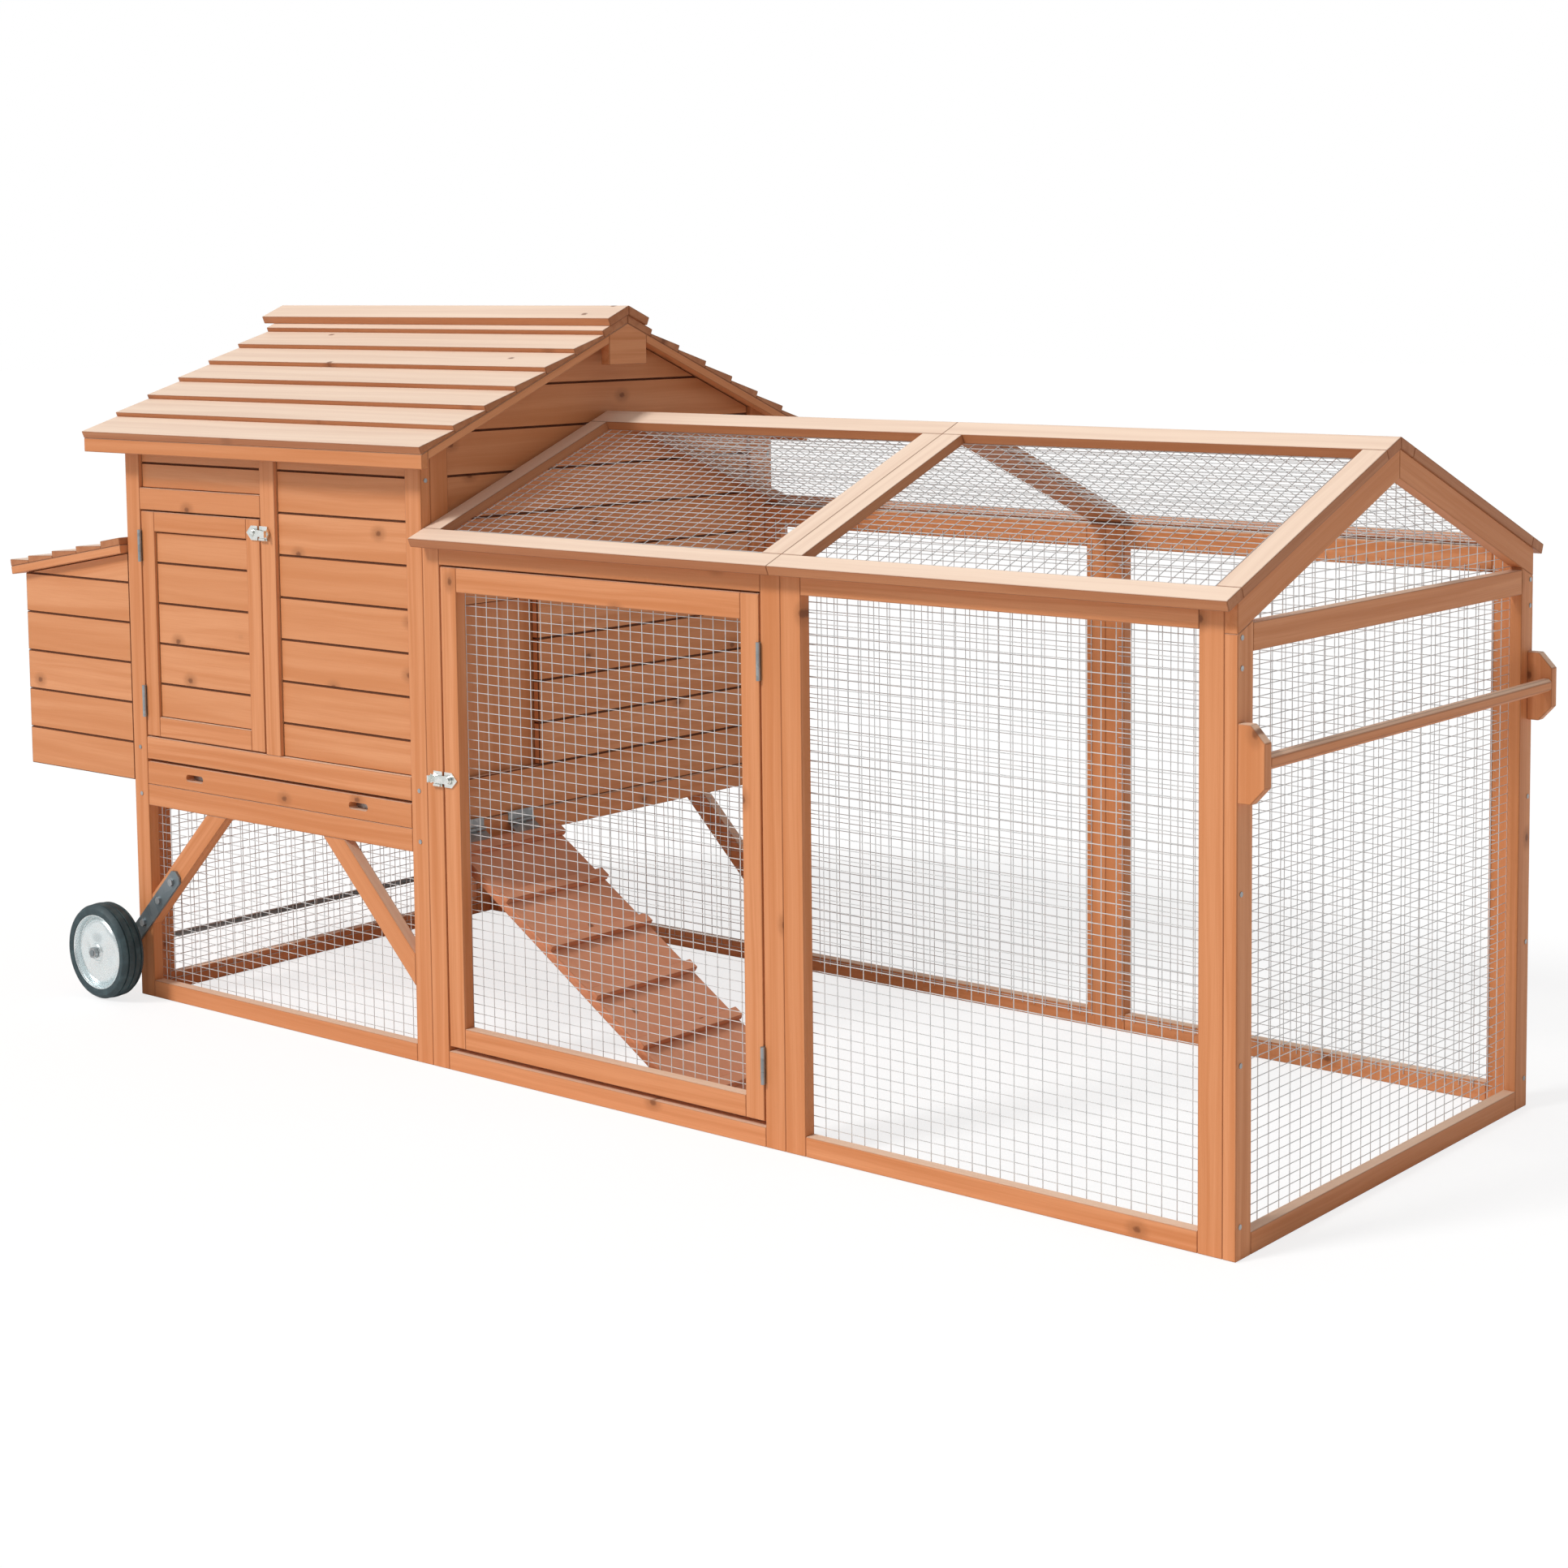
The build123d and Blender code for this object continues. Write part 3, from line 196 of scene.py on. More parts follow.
light_world()
add_sun("key", SUN_DIRECTION, SUN_STRENGTH, SUN_ANGLE)
add_floor()
print("sun", SUN_STRENGTH, "world", WORLD_LIGHT, "to", WORLD_LIGHT_RIGHT)

# %% [markdown]
# ## Grain and knots
# Stained pine shows long soft bands along each board, fine fibres, and here and there a small dark
# knot. Every board carries its own coordinates, measured along, across and through it, so the
# pattern follows the board when it slopes or moves. Both effects are node groups with named
# inputs, because the boards, the frames and the roof use them with different values.

# %% Node group helpers
MIX_PLUGS = (0, 6, 7)           # factor and the two colours of a mix node set to colours
MIX_OUTPUT = 2


def new_group(name, inputs, outputs):
    group = bpy.data.node_groups.new(name, "ShaderNodeTree")
    for label, kind, value in inputs:
        socket = group.interface.new_socket(label, in_out="INPUT", socket_type=kind)
        if value is not None:
            socket.default_value = value
    for label, kind in outputs:
        group.interface.new_socket(label, in_out="OUTPUT", socket_type=kind)
    return group, group.nodes.new("NodeGroupInput"), group.nodes.new("NodeGroupOutput")


def math_node(tree, operation, a, b):
    node = tree.nodes.new("ShaderNodeMath")
    node.operation = operation
    for i, value in enumerate((a, b)):
        if isinstance(value, (int, float)):
            node.inputs[i].default_value = value
        else:
            tree.links.new(value, node.inputs[i])
    return node.outputs[0]


def scaled(tree, vector, scale):
    node = tree.nodes.new("ShaderNodeMapping")
    node.inputs["Scale"].default_value = scale
    tree.links.new(vector, node.inputs["Vector"])
    return node.outputs["Vector"]


def noise(tree, vector, scale, detail=3, rough=0.55, distortion=0):
    node = tree.nodes.new("ShaderNodeTexNoise")
    node.inputs["Scale"].default_value = scale
    node.inputs["Detail"].default_value = detail
    node.inputs["Roughness"].default_value = rough
    node.inputs["Distortion"].default_value = distortion
    tree.links.new(vector, node.inputs["Vector"])
    return node.outputs["Fac"]


def steps(tree, value, low, high):
    """Rises smoothly from 0 at low to 1 at high."""
    node = tree.nodes.new("ShaderNodeMapRange")
    node.interpolation_type = "SMOOTHSTEP"
    node.inputs["From Min"].default_value = low
    node.inputs["From Max"].default_value = high
    tree.links.new(value, node.inputs["Value"])
    return node.outputs["Result"]


def mix_colour(tree, factor, a, b):
    node = tree.nodes.new("ShaderNodeMix")
    node.data_type = "RGBA"
    plugs = [node.inputs[i] for i in MIX_PLUGS]
    for plug, value in zip(plugs, (factor, a, b)):
        if isinstance(value, (int, float, tuple)):
            plug.default_value = value
        else:
            tree.links.new(value, plug)
    return node.outputs[MIX_OUTPUT]


# %% The grain group
BANDS_ALONG = 1.4               # bands per metre along the board
BAND_WARP = 1.6                 # how far slow waves push the bands across, in bands
KNOT_CELLS = 7.5                # cells per metre that may hold a knot
KNOT_CHOICE = (0.6, 0.62)       # a cell has a knot if its random value lies above these
KNOT_CORE = (0.052, 0.026)      # distances at which the core starts and is full
KNOT_HALO = (0.13, 0.045)
KNOT_RAGGED = 0.022


def build_grain_group():
    """Bands, fibres and knots of pine, from a point's place in its board."""
    group, given, out = new_group(
        "pine grain",
        [("Board", "NodeSocketVector", None), ("Band Width", "NodeSocketFloat", 0.012)],
        [
            ("Bands", "NodeSocketFloat"), ("Fibres", "NodeSocketFloat"),
            ("Knots", "NodeSocketFloat"), ("Halo", "NodeSocketFloat"),
        ],
    )
    board = given.outputs["Board"]
    width = given.outputs["Band Width"]
    stretch = group.nodes.new("ShaderNodeCombineXYZ")
    stretch.inputs["X"].default_value = BANDS_ALONG
    for axis in ("Y", "Z"):
        group.links.new(math_node(group, "DIVIDE", 1, width), stretch.inputs[axis])
    lengthened = group.nodes.new("ShaderNodeVectorMath")
    lengthened.operation = "MULTIPLY"
    group.links.new(board, lengthened.inputs[0])
    group.links.new(stretch.outputs[0], lengthened.inputs[1])
    wide = lengthened.outputs[0]
    warp = noise(group, scaled(group, board, (2.2, 7, 7)), 1, 2)
    bend = group.nodes.new("ShaderNodeVectorMath")
    bend.operation = "ADD"
    group.links.new(wide, bend.inputs[0])
    spread = group.nodes.new("ShaderNodeCombineXYZ")
    group.links.new(math_node(group, "MULTIPLY", warp, BAND_WARP), spread.inputs["Y"])
    group.links.new(spread.outputs[0], bend.inputs[1])
    group.links.new(noise(group, bend.outputs[0], 1, 4, 0.55, 0.2), out.inputs["Bands"])
    group.links.new(noise(group, scaled(group, board, (14, 700, 700)), 1, 3), out.inputs["Fibres"])
    flat = group.nodes.new("ShaderNodeTexVoronoi")
    flat.voronoi_dimensions = "2D"
    flat.inputs["Scale"].default_value = KNOT_CELLS
    group.links.new(scaled(group, board, (0.7, 1, 1)), flat.inputs["Vector"])
    ragged = math_node(group, "MULTIPLY", noise(group, board, 260, 2), KNOT_RAGGED)
    reach = math_node(group, "ADD", flat.outputs["Distance"], ragged)
    pick = group.nodes.new("ShaderNodeSeparateColor")
    group.links.new(flat.outputs["Color"], pick.inputs["Color"])
    chosen = steps(group, pick.outputs["Red"], *KNOT_CHOICE)
    core = steps(group, reach, *KNOT_CORE)
    halo = steps(group, reach, *KNOT_HALO)
    group.links.new(math_node(group, "MULTIPLY", core, chosen), out.inputs["Knots"])
    group.links.new(math_node(group, "MULTIPLY", halo, chosen), out.inputs["Halo"])
    return group


grain_group = build_grain_group()

# %% [markdown]
# ## Stained softwood
# The stain sits warm and orange on the faces. The strong light on the upward faces is painted into
# their colour as a light peach highlight. Each board also differs a little in tone from its neighbour.
# The mesh carries that tone and a mask of the upward faces as attributes, and the material mixes them
# with the grain. Painted shade lies on the rounded edges and in the grooves between boards, and the
# roof boards and the ramp take darker copies of the stain as painted shade.

# %% Wood materials


def attribute(tree, name, output):
    node = tree.nodes.new("ShaderNodeAttribute")
    node.attribute_name = name
    return node.outputs[output]


KNOT = (0.2, 0.062, 0.02, 1)
# colour of the painted shade on rounded edges and in the grooves between boards
PAINTED_GROOVE_SHADE = (0.13, 0.036, 0.012, 1)
FIBRE_SHARE = 0.3               # how far each effect takes the stain towards its dark tone
TONE_SHARE = 0.55
HALO_SHARE = 0.7
HALO_DARKER = 0.72
KNOT_SHARE = 0.8
STREAK_SHARE = 0.16             # how far the bands show through the painted highlight on the tops
ROUGH_SPREAD = 0.12
GRAIN_STRENGTH = 0.3
GRAIN_DEPTH = 0.0006


def wood(name, light, dark, painted_top_colour, band_width=0.012, rough=0.5):
    """Stained softwood; the colour given after the dark tone is the painted highlight on its upward faces.
    """
    material = bpy.data.materials.new(name)
    material.use_nodes = True
    tree = material.node_tree
    shader = tree.nodes["Principled BSDF"]
    grain = tree.nodes.new("ShaderNodeGroup")
    grain.node_tree = grain_group
    grain.inputs["Band Width"].default_value = band_width
    tree.links.new(attribute(tree, "board", "Vector"), grain.inputs["Board"])
    bands = steps(tree, grain.outputs["Bands"], 0.34, 0.7)
    tone = mix_colour(tree, bands, light, dark)
    fibre = steps(tree, grain.outputs["Fibres"], 0.35, 0.75)
    tone = mix_colour(tree, math_node(tree, "MULTIPLY", fibre, FIBRE_SHARE), tone, dark)
    board_tone = attribute(tree, "tone", "Fac")
    tone = mix_colour(tree, math_node(tree, "MULTIPLY", board_tone, TONE_SHARE), tone, dark)
    halo = math_node(tree, "MULTIPLY", grain.outputs["Halo"], HALO_SHARE)
    tone = mix_colour(tree, halo, tone, tuple(HALO_DARKER * c for c in dark[:3]) + (1,))
    # painted highlight: upward faces are mixed towards the colour given for them, by how far they face up
    painted_top_mask = attribute(tree, "painted_top_mask", "Fac")
    streaks = math_node(tree, "SUBTRACT", 1, math_node(tree, "MULTIPLY", bands, STREAK_SHARE))
    tone = mix_colour(tree, math_node(tree, "MULTIPLY", painted_top_mask, streaks), tone, painted_top_colour)
    knots = math_node(tree, "MULTIPLY", grain.outputs["Knots"], KNOT_SHARE)
    tone = mix_colour(tree, knots, tone, KNOT)
    # painted shade on the rounded edges and in the grooves between boards
    edge = attribute(tree, "edge", "Fac")
    tone = mix_colour(tree, edge, tone, PAINTED_GROOVE_SHADE)
    tree.links.new(tone, shader.inputs["Base Color"])
    wear = math_node(tree, "MULTIPLY", fibre, ROUGH_SPREAD)
    worn = math_node(tree, "ADD", rough - ROUGH_SPREAD / 2, wear)
    tree.links.new(math_node(tree, "MAXIMUM", worn, edge), shader.inputs["Roughness"])
    shader.inputs["Specular IOR Level"].default_value = 0.3
    bump = tree.nodes.new("ShaderNodeBump")
    bump.inputs["Strength"].default_value = GRAIN_STRENGTH
    bump.inputs["Distance"].default_value = GRAIN_DEPTH
    tree.links.new(grain.outputs["Fibres"], bump.inputs["Height"])
    tree.links.new(bump.outputs["Normal"], shader.inputs["Normal"])
    return material


# colour of the painted highlight on upward faces
PAINTED_TOP_COLOUR = (0.88, 0.62, 0.45, 1)
wood_frame = wood("stained frame timber", (0.74, 0.315, 0.142, 1), (0.6, 0.215, 0.075, 1), PAINTED_TOP_COLOUR)
wood_board = wood("stained siding board", (0.74, 0.325, 0.15, 1), (0.62, 0.235, 0.088, 1), PAINTED_TOP_COLOUR, 0.02)
# roof boards: a darker copy of the stain as painted shade on the slats' front and side faces, with a
# stronger painted highlight on their tops
roof_wood_painted_shade = wood(
    "stained roof board with painted shade", (0.53, 0.225, 0.1, 1), (0.42, 0.15, 0.058, 1), (0.95, 0.73, 0.57, 1), 0.016,
)
# the ramp lies in the run's shade: a darker copy of the stain as painted shade, and a dimmed painted
# highlight on its top
RAMP_PAINTED_TOP = (0.74, 0.33, 0.19, 1)
ramp_wood_painted_shade = wood("stained ramp board in painted shade", (0.7, 0.28, 0.145, 1), (0.55, 0.19, 0.085, 1), RAMP_PAINTED_TOP, 0.014, 0.6)
print("wood materials", [m.name for m in (wood_frame, wood_board, roof_wood_painted_shade, ramp_wood_painted_shade)])

# %% [markdown]
# ## Boards from the solid model
# Each timber node of the solid model holds several boards. A copy is taken, its triangles are sorted
# back into closed boards, and every board gets merged points, flat faces and small rounded edges.
# The board's longest edge gives the direction of its grain.

# %% Split a node into its solids
MERGE_DISTANCE = 1e-6
FLAT_ANGLE = math.radians(1)


def solids_of(node):
    """The closed shells of a node, each a list of triangles of points."""
    mesh = nodes[node].data
    points = [tuple(round(c, 6) for c in v.co) for v in mesh.vertices]
    shells, shell, open_edges = [], [], set()
    for polygon in mesh.polygons:
        corners = [points[i] for i in polygon.vertices]
        shell.append(corners)
        for a, b in zip(corners, corners[1:] + corners[:1]):
            if (b, a) in open_edges:
                open_edges.remove((b, a))
            else:
                open_edges.add((a, b))
        if not open_edges:
            shells.append(shell)
            shell = []
    if shell:
        shells.append(shell)
    return shells


def shell_bmesh(shell):
    """One closed shell with merged points and flat faces."""
    bm = bmesh.new()
    made = {}
    for corners in shell:
        verts = []
        for point in corners:
            if point not in made:
                made[point] = bm.verts.new(point)
            verts.append(made[point])
        if len(set(verts)) == 3 and bm.faces.get(verts) is None:
            bm.faces.new(verts)
    bmesh.ops.remove_doubles(bm, verts=bm.verts, dist=MERGE_DISTANCE)
    bmesh.ops.dissolve_limit(bm, angle_limit=FLAT_ANGLE, verts=bm.verts, edges=bm.edges)
    return bm


# %% Round, measure and join the boards
ACROSS_LIMIT = 0.2              # an edge lies across a board if it leans less than this to the grain
SHARP_ANGLE = math.radians(12)
PAINTED_TOP_START = 0.35                # upward part of the normal at which the painted highlight begins
PAINTED_TOP_SPAN = 0.4
GRAIN_SHIFT = 9                 # metres, so that no two boards share a piece of the grain

# Width of the rounded edges, and how strong the painted shade on them is
FRAME_EDGE = (0.0012, 0.3)
SIDING_EDGE = (0.0016, 0.95)
ROOF_EDGE = (0.0013, 0.35)


def board_axes(bm):
    """Directions along, across and through a board, from its longest edge."""
    edges = sorted(bm.edges, key=lambda e: -e.calc_length())
    along = (edges[0].verts[1].co - edges[0].verts[0].co).normalized()
    across = along.orthogonal().normalized()
    for edge in edges:
        direction = (edge.verts[1].co - edge.verts[0].co).normalized()
        if abs(direction.dot(along)) < ACROSS_LIMIT:
            across = (direction - along * direction.dot(along)).normalized()
            break
    return along, across, along.cross(across)


def round_edges(bm, width, painted_shade):
    """Bevel the sharp edges and paint shade on the new faces, as strong as given."""
    dark = bm.faces.layers.float.new("edge")
    sharp = [e for e in bm.edges if len(e.link_faces) == 2 and e.calc_face_angle(0) > SHARP_ANGLE]
    made = bmesh.ops.bevel(
        bm, geom=sharp, offset=width, offset_type="OFFSET", segments=2, profile=0.5,
        affect="EDGES", material=-1, clamp_overlap=True,
    )
    # painted shade on the new rounded faces, strongest in the siding's grooves
    for face in made["faces"]:
        face[dark] = painted_shade


def mark_board(bm, axes, shift, tone):
    """Store each point's place in the board, the board's tone, and how much painted highlight a face gets
    from how far it looks up.
    """
    place = bm.verts.layers.float_vector.new("board")
    shade = bm.verts.layers.float.new("tone")
    painted_top_mask = bm.faces.layers.float.new("painted_top_mask")
    for vert in bm.verts:
        vert[place] = Vector([vert.co.dot(axis) for axis in axes]) + shift
        vert[shade] = tone
    bm.normal_update()
    # mask for the painted highlight on upward faces
    for face in bm.faces:
        face[painted_top_mask] = min(1, max(0, (face.normal.z - PAINTED_TOP_START) / PAINTED_TOP_SPAN))


def dress_boards(node, material, edge=FRAME_EDGE):
    """A piece that stands for a timber node, with rounded and marked boards."""
    rng = random.Random(node)
    whole = bpy.data.meshes.new("timber_" + node)
    joined = bmesh.new()
    for shell in solids_of(node):
        bm = shell_bmesh(shell)
        axes = board_axes(bm)
        round_edges(bm, *edge)
        shift = Vector([rng.uniform(-GRAIN_SHIFT, GRAIN_SHIFT) for i in range(3)])
        mark_board(bm, axes, shift, rng.random())
        board = bpy.data.meshes.new("board")
        bm.to_mesh(board)
        bm.free()
        joined.from_mesh(board)
        bpy.data.meshes.remove(board)
    joined.to_mesh(whole)
    joined.free()
    whole.materials.append(material)
    piece = bpy.data.objects.new("timber_" + node, whole)
    scene.collection.objects.link(piece)
    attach(piece, body_of_node[node])
    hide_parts(node)
    return piece


# %% The timber of the house, the run and the moving parts
FRAME_TIMBER = [
    "house_front_frame", "house_back_frame", "house_end_frames", "house_floor", "tray_runners",
    "perches", "roof_rafters", "underframe_braces", "nest_floor", "nest_divider", "nest_lid_rails",
    "pop_door_guides", "tray_front", "house_door_frame", "run_door_frame", "run_front_frames",
    "run_back_frames", "run_end_frame", "handle_brackets", "handle_bar", "eave_and_gable_boards",
]
SIDING = [
    "house_front_siding", "house_back_siding", "left_end_siding", "right_gable_siding",
    "nest_walls", "pop_door_panel", "house_door_panel",
]
ROOFING = [
    "roof_slats_front", "roof_slats_back", "ridge_cap", "nest_lid_slats", "run_roof_front",
    "run_roof_back",
]

timber = [dress_boards(node, wood_frame) for node in FRAME_TIMBER]
timber += [dress_boards(node, ramp_wood_painted_shade) for node in ("ramp_board", "ramp_cleats")]
timber += [dress_boards(node, wood_board, SIDING_EDGE) for node in SIDING]
timber += [dress_boards(node, roof_wood_painted_shade, ROOF_EDGE) for node in ROOFING]
print("timber pieces", len(timber), "faces", sum(len(p.data.polygons) for p in timber))

# %% [markdown]
# ## Metals
# The mesh, hinges, struts and axle are zinc-plated: grey, slightly mottled and half dull. The two
# latches are polished, so they mirror the white room. A mottling group serves both zinc finishes.

# %% Metal and rubber materials


def build_mottle_group():
    group, given, out = new_group(
        "zinc mottle",
        [("Vector", "NodeSocketVector", None), ("Scale", "NodeSocketFloat", 90.0)],
        [("Patches", "NodeSocketFloat"), ("Height", "NodeSocketFloat")],
    )
    cells = group.nodes.new("ShaderNodeTexVoronoi")
    group.links.new(given.outputs["Vector"], cells.inputs["Vector"])
    group.links.new(given.outputs["Scale"], cells.inputs["Scale"])
    pick = group.nodes.new("ShaderNodeSeparateColor")
    group.links.new(cells.outputs["Color"], pick.inputs["Color"])
    group.links.new(pick.outputs["Red"], out.inputs["Patches"])
    group.links.new(noise(group, given.outputs["Vector"], 260, 2), out.inputs["Height"])
    return group


mottle_group = build_mottle_group()


def metal(name, light, dark, rough_low, rough_high, metallic=1.0, scale=90.0, relief=0.15):
    """Mottled metal between two tones and two roughnesses; scale is the mottling's cells per metre."""
    material = bpy.data.materials.new(name)
    material.use_nodes = True
    tree = material.node_tree
    shader = tree.nodes["Principled BSDF"]
    place = tree.nodes.new("ShaderNodeTexCoord").outputs["Object"]
    mottle = tree.nodes.new("ShaderNodeGroup")
    mottle.node_tree = mottle_group
    mottle.inputs["Scale"].default_value = scale
    tree.links.new(place, mottle.inputs["Vector"])
    tree.links.new(mix_colour(tree, mottle.outputs["Patches"], light, dark), shader.inputs["Base Color"])
    span = tree.nodes.new("ShaderNodeMapRange")
    span.inputs["To Min"].default_value = rough_low
    span.inputs["To Max"].default_value = rough_high
    tree.links.new(mottle.outputs["Height"], span.inputs["Value"])
    tree.links.new(span.outputs["Result"], shader.inputs["Roughness"])
    shader.inputs["Metallic"].default_value = metallic
    bump = tree.nodes.new("ShaderNodeBump")
    bump.inputs["Strength"].default_value = relief
    bump.inputs["Distance"].default_value = 0.0003
    tree.links.new(mottle.outputs["Height"], bump.inputs["Height"])
    tree.links.new(bump.outputs["Normal"], shader.inputs["Normal"])
    return material


zinc = metal("zinc plate", (0.5, 0.52, 0.53, 1), (0.36, 0.38, 0.39, 1), 0.3, 0.5)
strut_zinc = metal("dark zinc plate", (0.27, 0.31, 0.33, 1), (0.19, 0.23, 0.25, 1), 0.38, 0.55, 0.8, 60)
hinge_zinc = metal("hinge zinc", (0.42, 0.45, 0.46, 1), (0.3, 0.33, 0.34, 1), 0.35, 0.5, 0.8)
zinc_wire = metal("zinc wire", (0.74, 0.74, 0.73, 1), (0.62, 0.63, 0.63, 1), 0.35, 0.55, 0.35)
polished = metal("polished latch", (0.92, 0.93, 0.9, 1), (0.74, 0.77, 0.74, 1), 0.12, 0.3, 1, 160)
wheel_paint = metal(
    "silver wheel paint", (0.8, 0.87, 0.88, 1), (0.78, 0.85, 0.865, 1), 0.24, 0.3, 0.75, 60, 0.01,
)


def build_rubber():
    """Dark rubber with a little dust."""
    material = bpy.data.materials.new("tyre rubber")
    material.use_nodes = True
    tree = material.node_tree
    shader = tree.nodes["Principled BSDF"]
    place = tree.nodes.new("ShaderNodeTexCoord").outputs["Object"]
    dust = steps(tree, noise(tree, place, 60, 4), 0.4, 0.75)
    tree.links.new(
        mix_colour(tree, dust, (0.026, 0.05, 0.058, 1), (0.05, 0.09, 0.1, 1)),
        shader.inputs["Base Color"],
    )
    shader.inputs["Roughness"].default_value = 0.6
    bump = tree.nodes.new("ShaderNodeBump")
    bump.inputs["Strength"].default_value = 0.2
    bump.inputs["Distance"].default_value = 0.0004
    tree.links.new(noise(tree, place, 900, 2), bump.inputs["Height"])
    tree.links.new(bump.outputs["Normal"], shader.inputs["Normal"])
    return material


rubber = build_rubber()

ZINC_NODES = ["tray_pan", "axle_fittings", "strut_bolts", "screws", "nest_lid_hinge_leaves"]
DARK_ZINC_NODES = ["axle", "wheel_struts"]
HINGE_NODES = [
    "fixed_hinge_leaves", "ramp_hinge_leaves", "house_door_hinge_leaves", "run_door_hinge_leaves",
]
POLISHED_NODES = [
    "latch_keepers", "house_latch_plate", "house_latch_lever", "run_latch_plate", "run_latch_lever",
]


def give_material(node, material):
    mesh = nodes[node].data
    mesh.materials.clear()
    mesh.materials.append(material)


for finish, fittings in (
    (zinc, ZINC_NODES), (strut_zinc, DARK_ZINC_NODES), (hinge_zinc, HINGE_NODES), (polished, POLISHED_NODES),
):
    for node in fittings:
        give_material(node, finish)
    print(finish.name, len(fittings), "nodes")

# %% [markdown]
# ## Welded wire mesh
# The solid model keeps every fourth wire. The real mesh has rectangular cells about 21.5 mm wide and
# 13.7 mm high, and about 25 by 12.5 mm on the sheets that lie across the coop. Each panel's outline
# is read from its sheet, and every wire is a six-sided rod as long as the outline allows.

# %% Read a sheet's plane and outline
WALL_CELL = (0.0215, 0.0137)    # width and height
END_CELL = (0.025, 0.0125)
END_LIMIT = 0.9                 # a sheet lies across the coop if its level direction has this much Y
WIRE_R = 0.0006
WIRE_SIDES = 6
WIRE_OFFSET = WIRE_R * 0.85     # from the sheet's middle, so that crossing wires are welded together
SHORTEST_WIRE = 0.004


def sheet_frame(shell):
    """The sheet's middle, its level and rising directions, its normal, and its outline."""
    bm = shell_bmesh(shell)
    face = max(bm.faces, key=lambda f: f.calc_area())
    normal = face.normal.copy()
    points = [v.co.copy() for v in bm.verts]
    bm.free()
    level = Vector((0, 0, 1)).cross(normal)
    if level.length < 0.1:
        level = Vector((1, 0, 0))
    level.normalize()
    rising = normal.cross(level).normalized()
    flat = [(p.dot(level), p.dot(rising)) for p in points]
    depths = [p.dot(normal) for p in points]
    return level, rising, normal, (min(depths) + max(depths)) / 2, hull(flat)


def hull(points):
    """Convex outline of flat points, counter-clockwise."""
    points = sorted(set((round(u, 5), round(v, 5)) for u, v in points))

    def half(sequence):
        chain = []
        for p in sequence:
            while len(chain) > 1 and turn(chain[-2], chain[-1], p) <= 0:
                chain.pop()
            chain.append(p)
        return chain[:-1]

    return half(points) + half(points[::-1])


def turn(a, b, c):
    return (b[0] - a[0]) * (c[1] - a[1]) - (b[1] - a[1]) * (c[0] - a[0])


def span_at(outline, axis, value):
    """Where the line at a constant coordinate enters and leaves the outline."""
    hits = []
    for a, b in zip(outline, outline[1:] + outline[:1]):
        if (a[axis] - value) * (b[axis] - value) < 0:
            share = (value - a[axis]) / (b[axis] - a[axis])
            hits.append(a[1 - axis] + (b[1 - axis] - a[1 - axis]) * share)
    return (min(hits), max(hits)) if len(hits) > 1 else None


# %% Weave the panels


def add_wire(bm, start, end):
    """One straight wire between two points."""
    axis = end - start
    place = Matrix.Translation((start + end) / 2) @ axis.to_track_quat("Z", "Y").to_matrix().to_4x4()
    bmesh.ops.create_cone(
        bm, cap_ends=True, segments=WIRE_SIDES, radius1=WIRE_R, radius2=WIRE_R,
        depth=axis.length, matrix=place,
    )


def weave(bm, shell):
    """Fill a sheet's outline with upright and level wires."""
    level, rising, normal, depth, outline = sheet_frame(shell)
    width, height = END_CELL if abs(level.y) > END_LIMIT else WALL_CELL
    for axis, pitch, offset in ((0, width, WIRE_OFFSET), (1, height, -WIRE_OFFSET)):
        low = min(p[axis] for p in outline)
        high = max(p[axis] for p in outline)
        count = int((high - low) / pitch)
        first = (low + high - count * pitch) / 2
        for i in range(count + 1):
            value = first + i * pitch
            span = span_at(outline, axis, value)
            if span is None or span[1] - span[0] < SHORTEST_WIRE:
                continue
            ends = []
            for other in span:
                u, v = (value, other) if axis == 0 else (other, value)
                ends.append(level * u + rising * v + normal * (depth + offset))
            add_wire(bm, *ends)


def mesh_panels(node):
    """A piece that stands for a node's sheets, with every wire."""
    bm = bmesh.new()
    for shell in solids_of(node):
        weave(bm, shell)
    mesh = bpy.data.meshes.new("wires_" + node)
    bm.to_mesh(mesh)
    bm.free()
    mesh.materials.append(zinc_wire)
    piece = bpy.data.objects.new("wires_" + node, mesh)
    scene.collection.objects.link(piece)
    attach(piece, body_of_node[node])
    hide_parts(node)
    print(piece.name, len(mesh.polygons), "faces")


for node in ("run_wall_mesh", "run_roof_mesh", "underframe_mesh", "run_door_mesh"):
    mesh_panels(node)

# %% [markdown]
# ## Wheels
# A wheel is a solid of revolution, so half of its section, spun round the axle, gives all of it.
# The tyre is solid rubber with three grooves round its crown. The pressed disc has a rolled lip, a
# dish that rises to the hub, and four shallow flutes that catch the light as they turn.

# %% Spin the wheels
SPIN_STEPS = 120
FLUTES = 4
FLUTE_DEPTH = 0.0034
FLUTE_START = 0.018             # radius at which the flutes begin
FLUTE_REACH = 0.032             # and how far out they run
SMOOTH_ANGLE = math.radians(32)


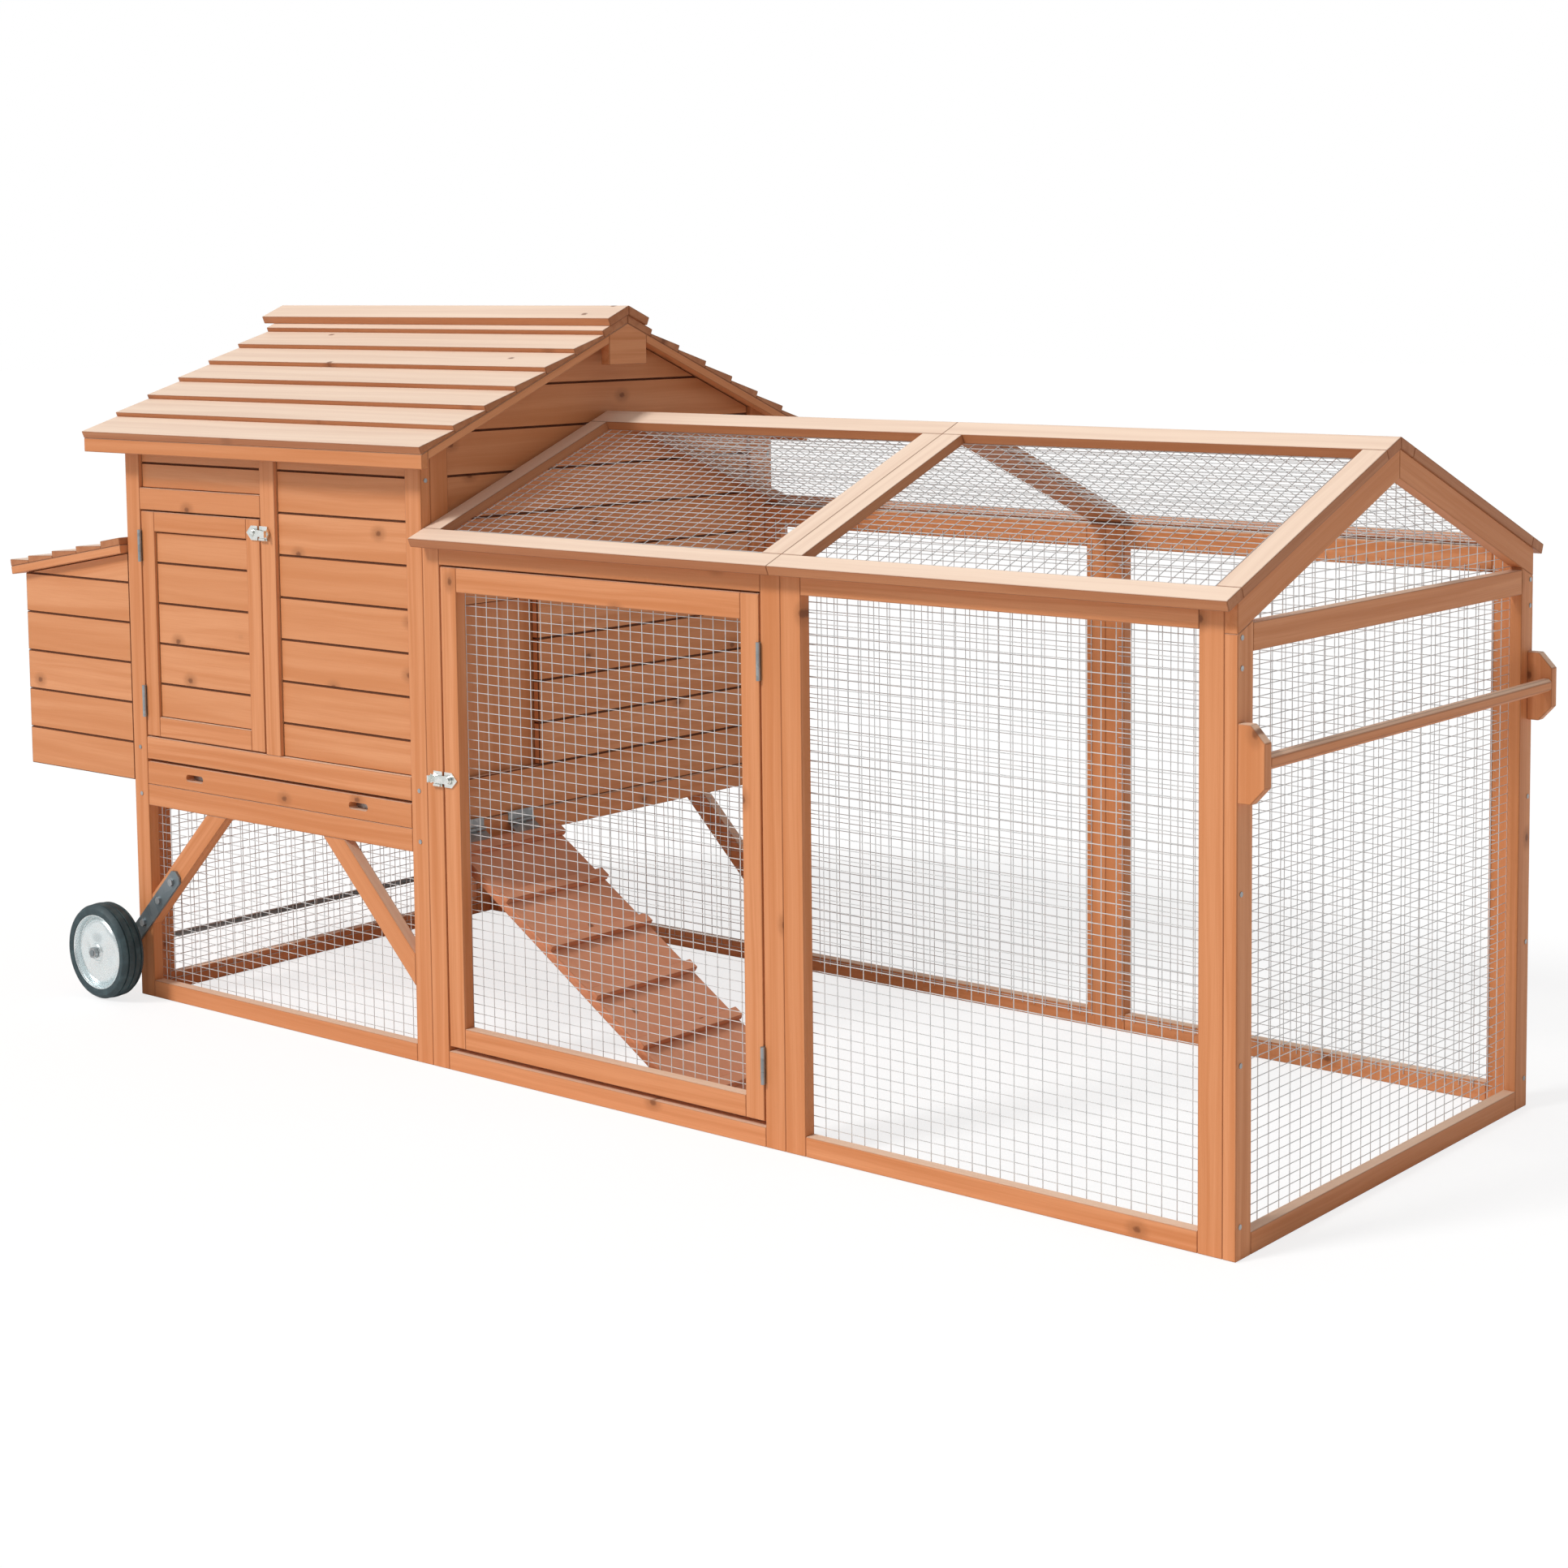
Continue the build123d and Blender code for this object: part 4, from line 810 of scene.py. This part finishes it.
def spun_piece(name, node, profile, material, press=None):
    """Spin a closed (radius, outward) profile about the node's axle and place it there."""
    low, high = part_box(node.replace("wheel_disc", "tyre"))
    middle = (low + high) / 2
    outward = 1 if middle.y > 0 else -1
    bm = bmesh.new()
    ring = [bm.verts.new((r, y * outward, 0)) for r, y in profile]
    edges = [bm.edges.new((a, b)) for a, b in zip(ring, ring[1:] + ring[:1])]
    bmesh.ops.spin(
        bm, geom=ring + edges, cent=(0, 0, 0), axis=(0, 1, 0), angle=2 * math.pi,
        steps=SPIN_STEPS, use_merge=True,
    )
    bmesh.ops.remove_doubles(bm, verts=bm.verts, dist=MERGE_DISTANCE)
    if press:
        for vert in bm.verts:
            vert.co.y += outward * press(math.hypot(vert.co.x, vert.co.z), math.atan2(vert.co.z, vert.co.x))
    bmesh.ops.recalc_face_normals(bm, faces=bm.faces)
    bmesh.ops.translate(bm, verts=bm.verts, vec=middle)
    mesh = bpy.data.meshes.new(name)
    bm.to_mesh(mesh)
    bm.free()
    for polygon in mesh.polygons:
        polygon.use_smooth = True
    mesh.set_sharp_from_angle(angle=SMOOTH_ANGLE)
    mesh.materials.append(material)
    piece = bpy.data.objects.new(name, mesh)
    scene.collection.objects.link(piece)
    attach(piece, body_of_node[node])
    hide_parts(node)
    print(name, len(mesh.polygons), "faces")


def press_flutes(reach, angle):
    """How far the disc is pressed outward at a place."""
    share = (reach - FLUTE_START) / FLUTE_REACH
    if not 0 < share < 1:
        return 0
    wave = 0.5 + 0.5 * math.cos(FLUTES * angle)
    return -FLUTE_DEPTH * wave * math.sin(math.pi * share)


TYRE_R = 0.076
TYRE_HALF = 0.02
RIM_R = 0.06
GROOVE_HALF = 0.0015
GROOVE_FLOOR = 0.6              # width of a groove's floor, as a share of its mouth
GROOVE_DEPTH = 0.002
GROOVE_PLACE = 0.0115           # the outer grooves from the middle one
CROWN_DROP = 0.0009             # how much lower the crown is at the outer grooves


def groove(middle, base):
    """Four profile points of a groove round the crown."""
    floor_half = GROOVE_HALF * GROOVE_FLOOR
    return [
        (base, middle - GROOVE_HALF), (base - GROOVE_DEPTH, middle - floor_half),
        (base - GROOVE_DEPTH, middle + floor_half), (base, middle + GROOVE_HALF),
    ]


tyre_side = [(0.0725, 0.0175), (0.069, TYRE_HALF), (0.063, TYRE_HALF), (RIM_R, TYRE_HALF - 0.001)]
tyre_profile = [(r, -y) for r, y in reversed(tyre_side)]
tyre_profile += groove(-GROOVE_PLACE, TYRE_R - CROWN_DROP)
tyre_profile += groove(0, TYRE_R)
tyre_profile += groove(GROOVE_PLACE, TYRE_R - CROWN_DROP)
tyre_profile += tyre_side
disc_profile = [
    (0.00505, -0.024), (0.012, -0.024), (0.012, 0.0127), (0.03, 0.0125), (0.046, 0.0124), (0.05, 0.0098),
    (0.057, 0.0036), (0.057, -0.017), (RIM_R, -0.017), (RIM_R, 0.017), (0.0598, 0.0182), (0.0589, 0.0187),
    (0.058, 0.0182), (0.0571, 0.0165), (0.0568, 0.0075), (0.0556, 0.0062), (0.0525, 0.008),
    (0.049, 0.0128), (0.046, 0.0148), (0.04, 0.0152), (0.034, 0.0154), (0.028, 0.0156), (0.022, 0.0159),
    (0.018, 0.0163), (0.0145, 0.0168), (0.0132, 0.019), (0.0122, 0.0197), (0.00505, 0.02),
]
for end in ("front", "back"):
    spun_piece("grooved_tyre_" + end, "tyre_" + end, tyre_profile, rubber)
    spun_piece("pressed_disc_" + end, "wheel_disc_" + end, disc_profile, wheel_paint, press_flutes)
